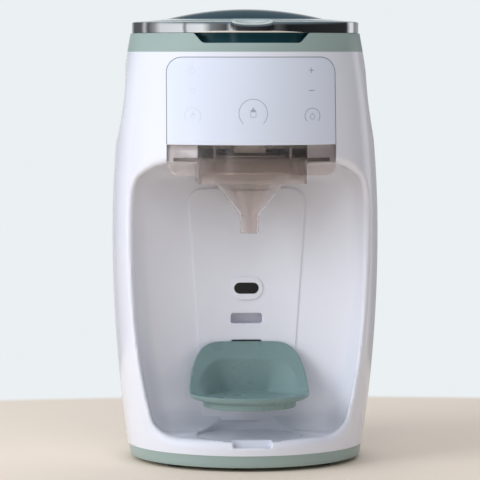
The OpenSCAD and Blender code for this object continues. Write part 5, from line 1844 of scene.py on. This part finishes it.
@dataclass
class WaterTank:
    """The see-through water tank behind the machine and its lid."""

    z0: float = 30.5
    z1: float = 318.0
    front: float = BARREL.bulkhead_y + 0.8
    wall: float = 2.4
    corner: float = 6.0
    foot_r: float = 4.0
    neck_r: float = 10.0
    neck_z: float = 24.5
    neck_bore: float = 5.0
    seat_bore: float = 8.0
    seat_z: float = 29.5
    lid_h: float = 8.0
    hinge_y: float = 118.536
    hinge_z: float = 322.5
    lug_half: float = 22.0
    lug_w: float = 6.6
    lug_r: float = 3.4
    barrel_r: float = 3.1
    thumb_r: float = 12.0

    def plan(self, z: float, inset: float) -> np.ndarray:
        """Outlines the tank at a height.

        Args:
            z: The height.
            inset: How far it is moved in.

        Returns:
            The ring of points, (n, 3).
        """
        radius = float(DOCK.radius(z)) - inset
        corner = max(0.8, self.corner - inset)
        plan = d_plan(DOCK.centre_y, radius, self.front + inset, corner, False, 128)
        return at_height(plan, z)

    def foot_rings(self, z: float, inset: float, angles: Iterable[int]) -> list[np.ndarray]:
        """Rings of the rounded edge between floor and wall, outside or inside."""
        turns, r = [math.radians(a) for a in angles], self.foot_r
        return [self.plan(z + r * (1 - math.cos(t)), inset + r * (1 - math.sin(t))) for t in turns]

    def build(self) -> None:
        """Builds the tank and its lid."""
        floor, shoulder = self.z0 + self.wall, self.z1 - 0.8
        rings = self.foot_rings(self.z0, 0.0, range(0, 91, 15))
        rings += [self.plan(z, 0) for z in np.linspace(self.z0 + 14, shoulder, 26)]
        rim = ((self.z1 - 0.1, 0.4), (self.z1, 1.2), (self.z1 - 0.1, 2.0))
        rings += [self.plan(z, inset) for z, inset in rim]
        rings += [self.plan(z, self.wall) for z in np.linspace(shoulder, self.z0 + 14, 26)]
        rings += self.foot_rings(floor, self.wall, range(90, -1, -15))
        obj = loft(rings).object("tank_body")
        neck = [(self.neck_r - 0.6, self.neck_z), (self.neck_r, self.neck_z + 0.6)]
        neck.append((self.neck_r, floor))
        combine(obj, Boolean.ADD, disc_stack(neck, DOCK.port_y, turns=64))
        for radius, top in ((self.neck_bore, 40), (self.seat_bore, self.seat_z)):
            combine(obj, Boolean.CUT, disc_stack([(radius, 20), (radius, top)], DOCK.port_y))
        for x in (-self.lug_half, self.lug_half - self.lug_w):
            x1 = x + self.lug_w
            lug = rod_x(self.hinge_y, self.hinge_z, self.lug_r, x, x1)
            foot = block((x, self.hinge_y - 2, self.z1 - 8), (x1, self.hinge_y + 2, self.hinge_z))
            combine(obj, Boolean.ADD, lug, foot)
        smooth(obj, 35.0)
        place_piece(obj, TANK, "tank", ["water_tank"])
        self.build_lid()

    def build_lid(self) -> None:
        """Builds the tank's lid with its thumb dish and hinge barrel."""
        z0, z1 = self.z1 + 0.2, self.z1 + self.lid_h
        low, high, back = z0 - 2, z1 + 2, 160
        edge = ((z0, 0), (z1 - 1.5, 0), (z1 - 0.5, 0.4), (z1 - 0.05, 1.4))
        obj = loft([self.plan(z, inset) for z, inset in edge]).object("tank_cover_plate")
        half, r = self.lug_half + 2, self.thumb_r
        turns = [math.radians(a) for a in range(6, 180, 6)]
        ball = [(r * math.sin(t), z1 + 8 - r * math.cos(t)) for t in turns]
        combine(
            obj,
            Boolean.CUT,
            loft([self.plan(z0 - 1, self.wall), self.plan(z1 - self.wall, self.wall)]),
            block((-90, self.hinge_y + 0.4, low), (90, back, high)),
            block((-half, self.hinge_y - 4.6, low), (half, back, high)),
            disc_stack(ball, self.front - 6, turns=64),
        )
        round_edges(obj, 0.35)
        reach = self.lug_half - self.lug_w - 0.3
        barrel = rod_x(self.hinge_y, self.hinge_z, self.barrel_r, -reach, reach)
        top = self.hinge_z + 2.6
        arm = block((-reach, self.hinge_y - 7, self.hinge_z), (reach, self.hinge_y, top))
        combine(obj, Boolean.ADD, barrel, arm)
        smooth(obj, 40.0)
        place_piece(obj, SAGE, "tank_cover", ["tank_lid"])


@dataclass
class ValveSpring:
    """The coil spring of the tank's valve, which shortens as the plunger rises."""

    coil_r: float = 5.0
    wire_r: float = 0.7
    turns: float = 4.5
    steps_a_turn: int = 28
    travel: float = 3.0

    def build(self) -> None:
        """Winds the coil evenly between the ends of the CAD spring."""
        (_, _, low), (_, _, high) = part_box("valve_spring")
        low, high = low / MM + self.wire_r, high / MM - self.wire_r
        whole_turn = 2 * math.pi * self.turns
        around = full_turn(10)[:, None]
        rings = []
        for share in np.linspace(0, 1, int(self.turns * self.steps_a_turn) + 1):
            a = whole_turn * share
            out = np.array([math.cos(a), math.sin(a), 0.0])
            along = np.array([-math.sin(a), math.cos(a), (high - low) / (whole_turn * self.coil_r)])
            across = np.cross(along / np.linalg.norm(along), out)
            middle = out * self.coil_r + np.array([0, DOCK.port_y, low + (high - low) * share])
            rings.append(middle + self.wire_r * (np.cos(around) * out + np.sin(around) * across))
        obj = loft(rings).object("valve_coil_spring")
        smooth(obj, 50.0)
        place_piece(obj, STEEL, "tank", ["valve_spring"])
        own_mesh(obj)


@dataclass
class InnerWorks:
    """The CAD nodes whose shape is right: they only get their finishes."""

    def build(self) -> None:
        """Gives every node the finish of its slot in the record."""
        for part in frame["record"]["subparts"]:
            dress(frame["nodes"][part["node"]], SLOT_FINISHES[part["material_slot"]])
        LOG.info("%d nodes dressed", len(frame["nodes"]))


# ---- Studio -------------------------------------------------------------------------------------


@dataclass(frozen=True)
class Lamp:
    """A soft rectangular lamp that faces the machine; its lengths are in metres."""

    name: str
    place: Point
    size: tuple[float, float]
    power: float
    colour: Colour
    aim: Point = (0.0, 0.0, 0.18)

    def hang(self) -> None:
        """Hangs the lamp and turns it to its aim."""
        data = bpy.data.lights.new(self.name, "AREA")
        data.shape = "RECTANGLE"
        data.size, data.size_y = self.size
        data.energy = self.power
        data.color = self.colour
        lamp = bpy.data.objects.new(self.name, data)
        lamp.location = self.place
        lamp.visible_glossy = False
        x, y, z = np.array(self.aim) - np.array(self.place)
        tilt = math.atan2(math.hypot(x, y), -z)
        lamp.rotation_euler = (tilt, 0.0, math.atan2(y, x) - math.pi / 2)
        bpy.context.scene.collection.objects.link(lamp)


@dataclass
class Studio:
    """Camera, lamps, floor and surroundings of the photograph; its lengths are in metres."""

    azimuth: float = -3.6
    distance: float = 2.355
    height: float = 0.3356
    focal_px: float = 2844.0
    horizon_px: float = 187.8
    axis_px: float = 5.0
    image_px: float = 480.0
    sensor_mm: float = 36.0
    table_r: float = 1.3
    table_edge_y: float = 0.385
    table_fade: float = 0.016
    floor_colour: Colour = (0.97, 0.83, 0.69)
    backdrop: Colour = (0.83, 0.87, 0.895)
    soft_light: float = 0.84
    soft_left: Colour = (0.9, 0.94, 1.0)
    soft_right: Colour = (0.3, 0.31, 0.34)
    ceiling: Colour = (0.16, 0.2, 0.22)
    ceiling_rise: tuple[float, float] = (0.09, 0.24)
    lamps: tuple[Lamp, ...] = (
        Lamp("window_left", (-2.1, -1.0, 1.25), (1.8, 1.6), 34.0, (0.88, 0.93, 1.0)),
        Lamp("fill_front", (0.2, -2.5, 2.0), (1.8, 1.4), 12.0, (0.97, 0.96, 1.0)),
        Lamp("top_back", (0.3, 1.0, 2.2), (1.6, 1.6), 13.0, (0.93, 0.96, 1.0)),
    )
    room_bands: tuple[tuple[float, float], ...] = (
        (-180, 0.8), (-168, 0.5), (-156, 0.1), (-134, 0.12), (-127, 0.6), (-120, 0.1), (-108, 0.35),
        (-99, 0.8), (-70, 0.9), (-67, 0.15), (-64, 0.85), (-47, 0.95), (-38, 0.25), (-22, 0.08),
        (-17, 0.85), (-11, 0.05), (20, 0.015), (30, 0.08), (40, 0.015), (122, 0.03), (131, 0.85),
        (138, 0.8), (143, 0.25), (165, 0.4), (180, 0.8),
    )

    def build(self) -> None:
        """Sets the studio up."""
        self.make_camera()
        self.make_floor()
        for lamp in self.lamps:
            lamp.hang()
        self.make_world()

    def make_camera(self) -> None:
        """Places the camera as the photograph was taken."""
        data = bpy.data.cameras.new("camera")
        data.sensor_width = self.sensor_mm
        data.lens = self.sensor_mm * self.focal_px / self.image_px
        data.clip_end = 30.0
        turn = math.radians(self.azimuth)
        camera = bpy.data.objects.new("camera", data)
        camera.location = (
            self.distance * math.sin(turn),
            BARREL.axis_y * MM - self.distance * math.cos(turn),
            self.height,
        )
        pitch = math.atan(self.horizon_px / self.focal_px)
        yaw = turn + math.atan(self.axis_px / self.focal_px)
        camera.rotation_euler = (math.pi / 2 - pitch, 0.0, yaw)
        bpy.context.scene.collection.objects.link(camera)
        bpy.context.scene.camera = camera

    def make_floor(self) -> None:
        """Lays the pale floor, whose edge fades into the surroundings for the camera."""
        radius = self.table_r + 0.1
        bpy.ops.mesh.primitive_circle_add(vertices=96, radius=radius, fill_type="NGON")
        floor = bpy.context.object
        floor.name = "floor"
        floor.location = (0, self.table_edge_y - self.table_r, -0.0002)
        material = bpy.data.materials.new("pale_floor")
        material.use_nodes = True
        kit = NodeKit(material.node_tree)
        shader, output = kit.tree.nodes["Principled BSDF"], kit.tree.nodes["Material Output"]
        kit.put(shader, {"Base Color": (*self.floor_colour, 1), "Roughness": 0.5})
        glow = kit.add("Emission", {"Color": (*self.backdrop, 1)})
        place = kit.add("TexCoord")
        length = kit.add("VectorMath", operation="LENGTH")
        edges = {
            "From Min": self.table_r - self.table_fade,
            "From Max": self.table_r + self.table_fade,
        }
        fade = kit.add("MapRange", edges, interpolation_type="SMOOTHSTEP")
        rays = kit.add("LightPath")
        seen = kit.add("Math", operation="MULTIPLY")
        mix = kit.add("MixShader")
        kit.link(place, "Object", length, 0)
        kit.link(length, "Value", fade, "Value")
        kit.link(fade, "Result", seen, 0)
        kit.link(rays, "Is Camera Ray", seen, 1)
        kit.link(seen, "Value", mix, "Fac")
        kit.link(shader, "BSDF", mix, 1)
        kit.link(glow, "Emission", mix, 2)
        kit.link(mix, "Shader", output, "Surface")
        floor.data.materials.append(material)

    def make_world(self) -> None:
        """Surrounds the scene: plain for the camera, soft for light, a room for reflections."""
        world = bpy.data.worlds.new("studio")
        bpy.context.scene.world = world
        world.use_nodes = True
        kit = NodeKit(world.node_tree)
        kit.tree.nodes.clear()
        output = kit.add("OutputWorld")
        seen = kit.add("Background", {"Color": (*self.backdrop, 1)})
        soft = kit.add("Background", {"Strength": self.soft_light})
        place = kit.add("TexCoord")
        split = kit.add("SeparateXYZ")
        side = kit.add("MapRange", {"From Min": -1.0})
        shade = kit.ramp((0.0, self.soft_left), (1.0, self.soft_right))
        kit.link(place, "Generated", split, "Vector")
        kit.link(split, "X", side, "Value")
        kit.link(side, "Result", shade, "Fac")
        kit.link(shade, "Color", soft, "Color")
        room = self.room_light(kit, place, split)
        rays = kit.add("LightPath")
        mirrored = kit.add("MixShader")
        mix = kit.add("MixShader")
        kit.link(rays, "Is Glossy Ray", mirrored, "Fac")
        kit.link(soft, "Background", mirrored, 1)
        kit.link(room, "Background", mirrored, 2)
        kit.link(rays, "Is Camera Ray", mix, "Fac")
        kit.link(mirrored, "Shader", mix, 1)
        kit.link(seen, "Background", mix, 2)
        kit.link(mix, "Shader", output, "Surface")

    def room_light(
        self, kit: NodeKit, place: bpy.types.Node, split: bpy.types.Node
    ) -> bpy.types.Node:
        """The room that glossy surfaces reflect: bright and dark bands around, a dim ceiling.

        Args:
            kit: Fills the world's tree.
            place: Texture coordinates of the world.
            split: Their three numbers.

        Returns:
            The background node.
        """
        mix_walls, mix_ceiling, mix_result = 6, 7, 2
        turn = kit.add("Mapping", {"Rotation": (0, 0, math.pi / 2)})
        around = kit.add("TexGradient", gradient_type="RADIAL")
        bands = [
            (angle / 360 + 0.5, (level * 0.96, level * 0.98, level))
            for angle, level in self.room_bands
        ]
        walls = kit.ramp(*bands)
        start, stop = self.ceiling_rise
        edges = {"From Min": start, "From Max": stop}
        rise = kit.add("MapRange", edges, interpolation_type="SMOOTHSTEP")
        mix = kit.add("Mix", {mix_ceiling: (*self.ceiling, 1)}, data_type="RGBA")
        room = kit.add("Background")
        kit.link(place, "Generated", turn, "Vector")
        kit.link(turn, "Vector", around, "Vector")
        kit.link(around, "Fac", walls, "Fac")
        kit.link(split, "Z", rise, "Value")
        kit.link(rise, "Result", mix, "Factor")
        kit.link(walls, "Color", mix, mix_walls)
        kit.link(mix, mix_result, room, "Color")
        return room


def main() -> None:
    """Builds the studio and the machine's pieces in order."""
    logging.basicConfig(level=logging.INFO, format="%(message)s")
    bpy.context.scene.view_settings.view_transform = "Standard"
    parts = (
        Studio(),
        InnerWorks(),
        FrontHousing(),
        RearHousing(),
        BaseBand(),
        BackWall(),
        ControlPanel(),
        Collar(),
        Lid(),
        FunnelDrawer(),
        BottleStand(),
        WaterTank(),
        ValveSpring(),
    )
    for part in parts:
        LOG.info("building %s", type(part).__name__)
        part.build()


if __name__ == "__main__":
    main()
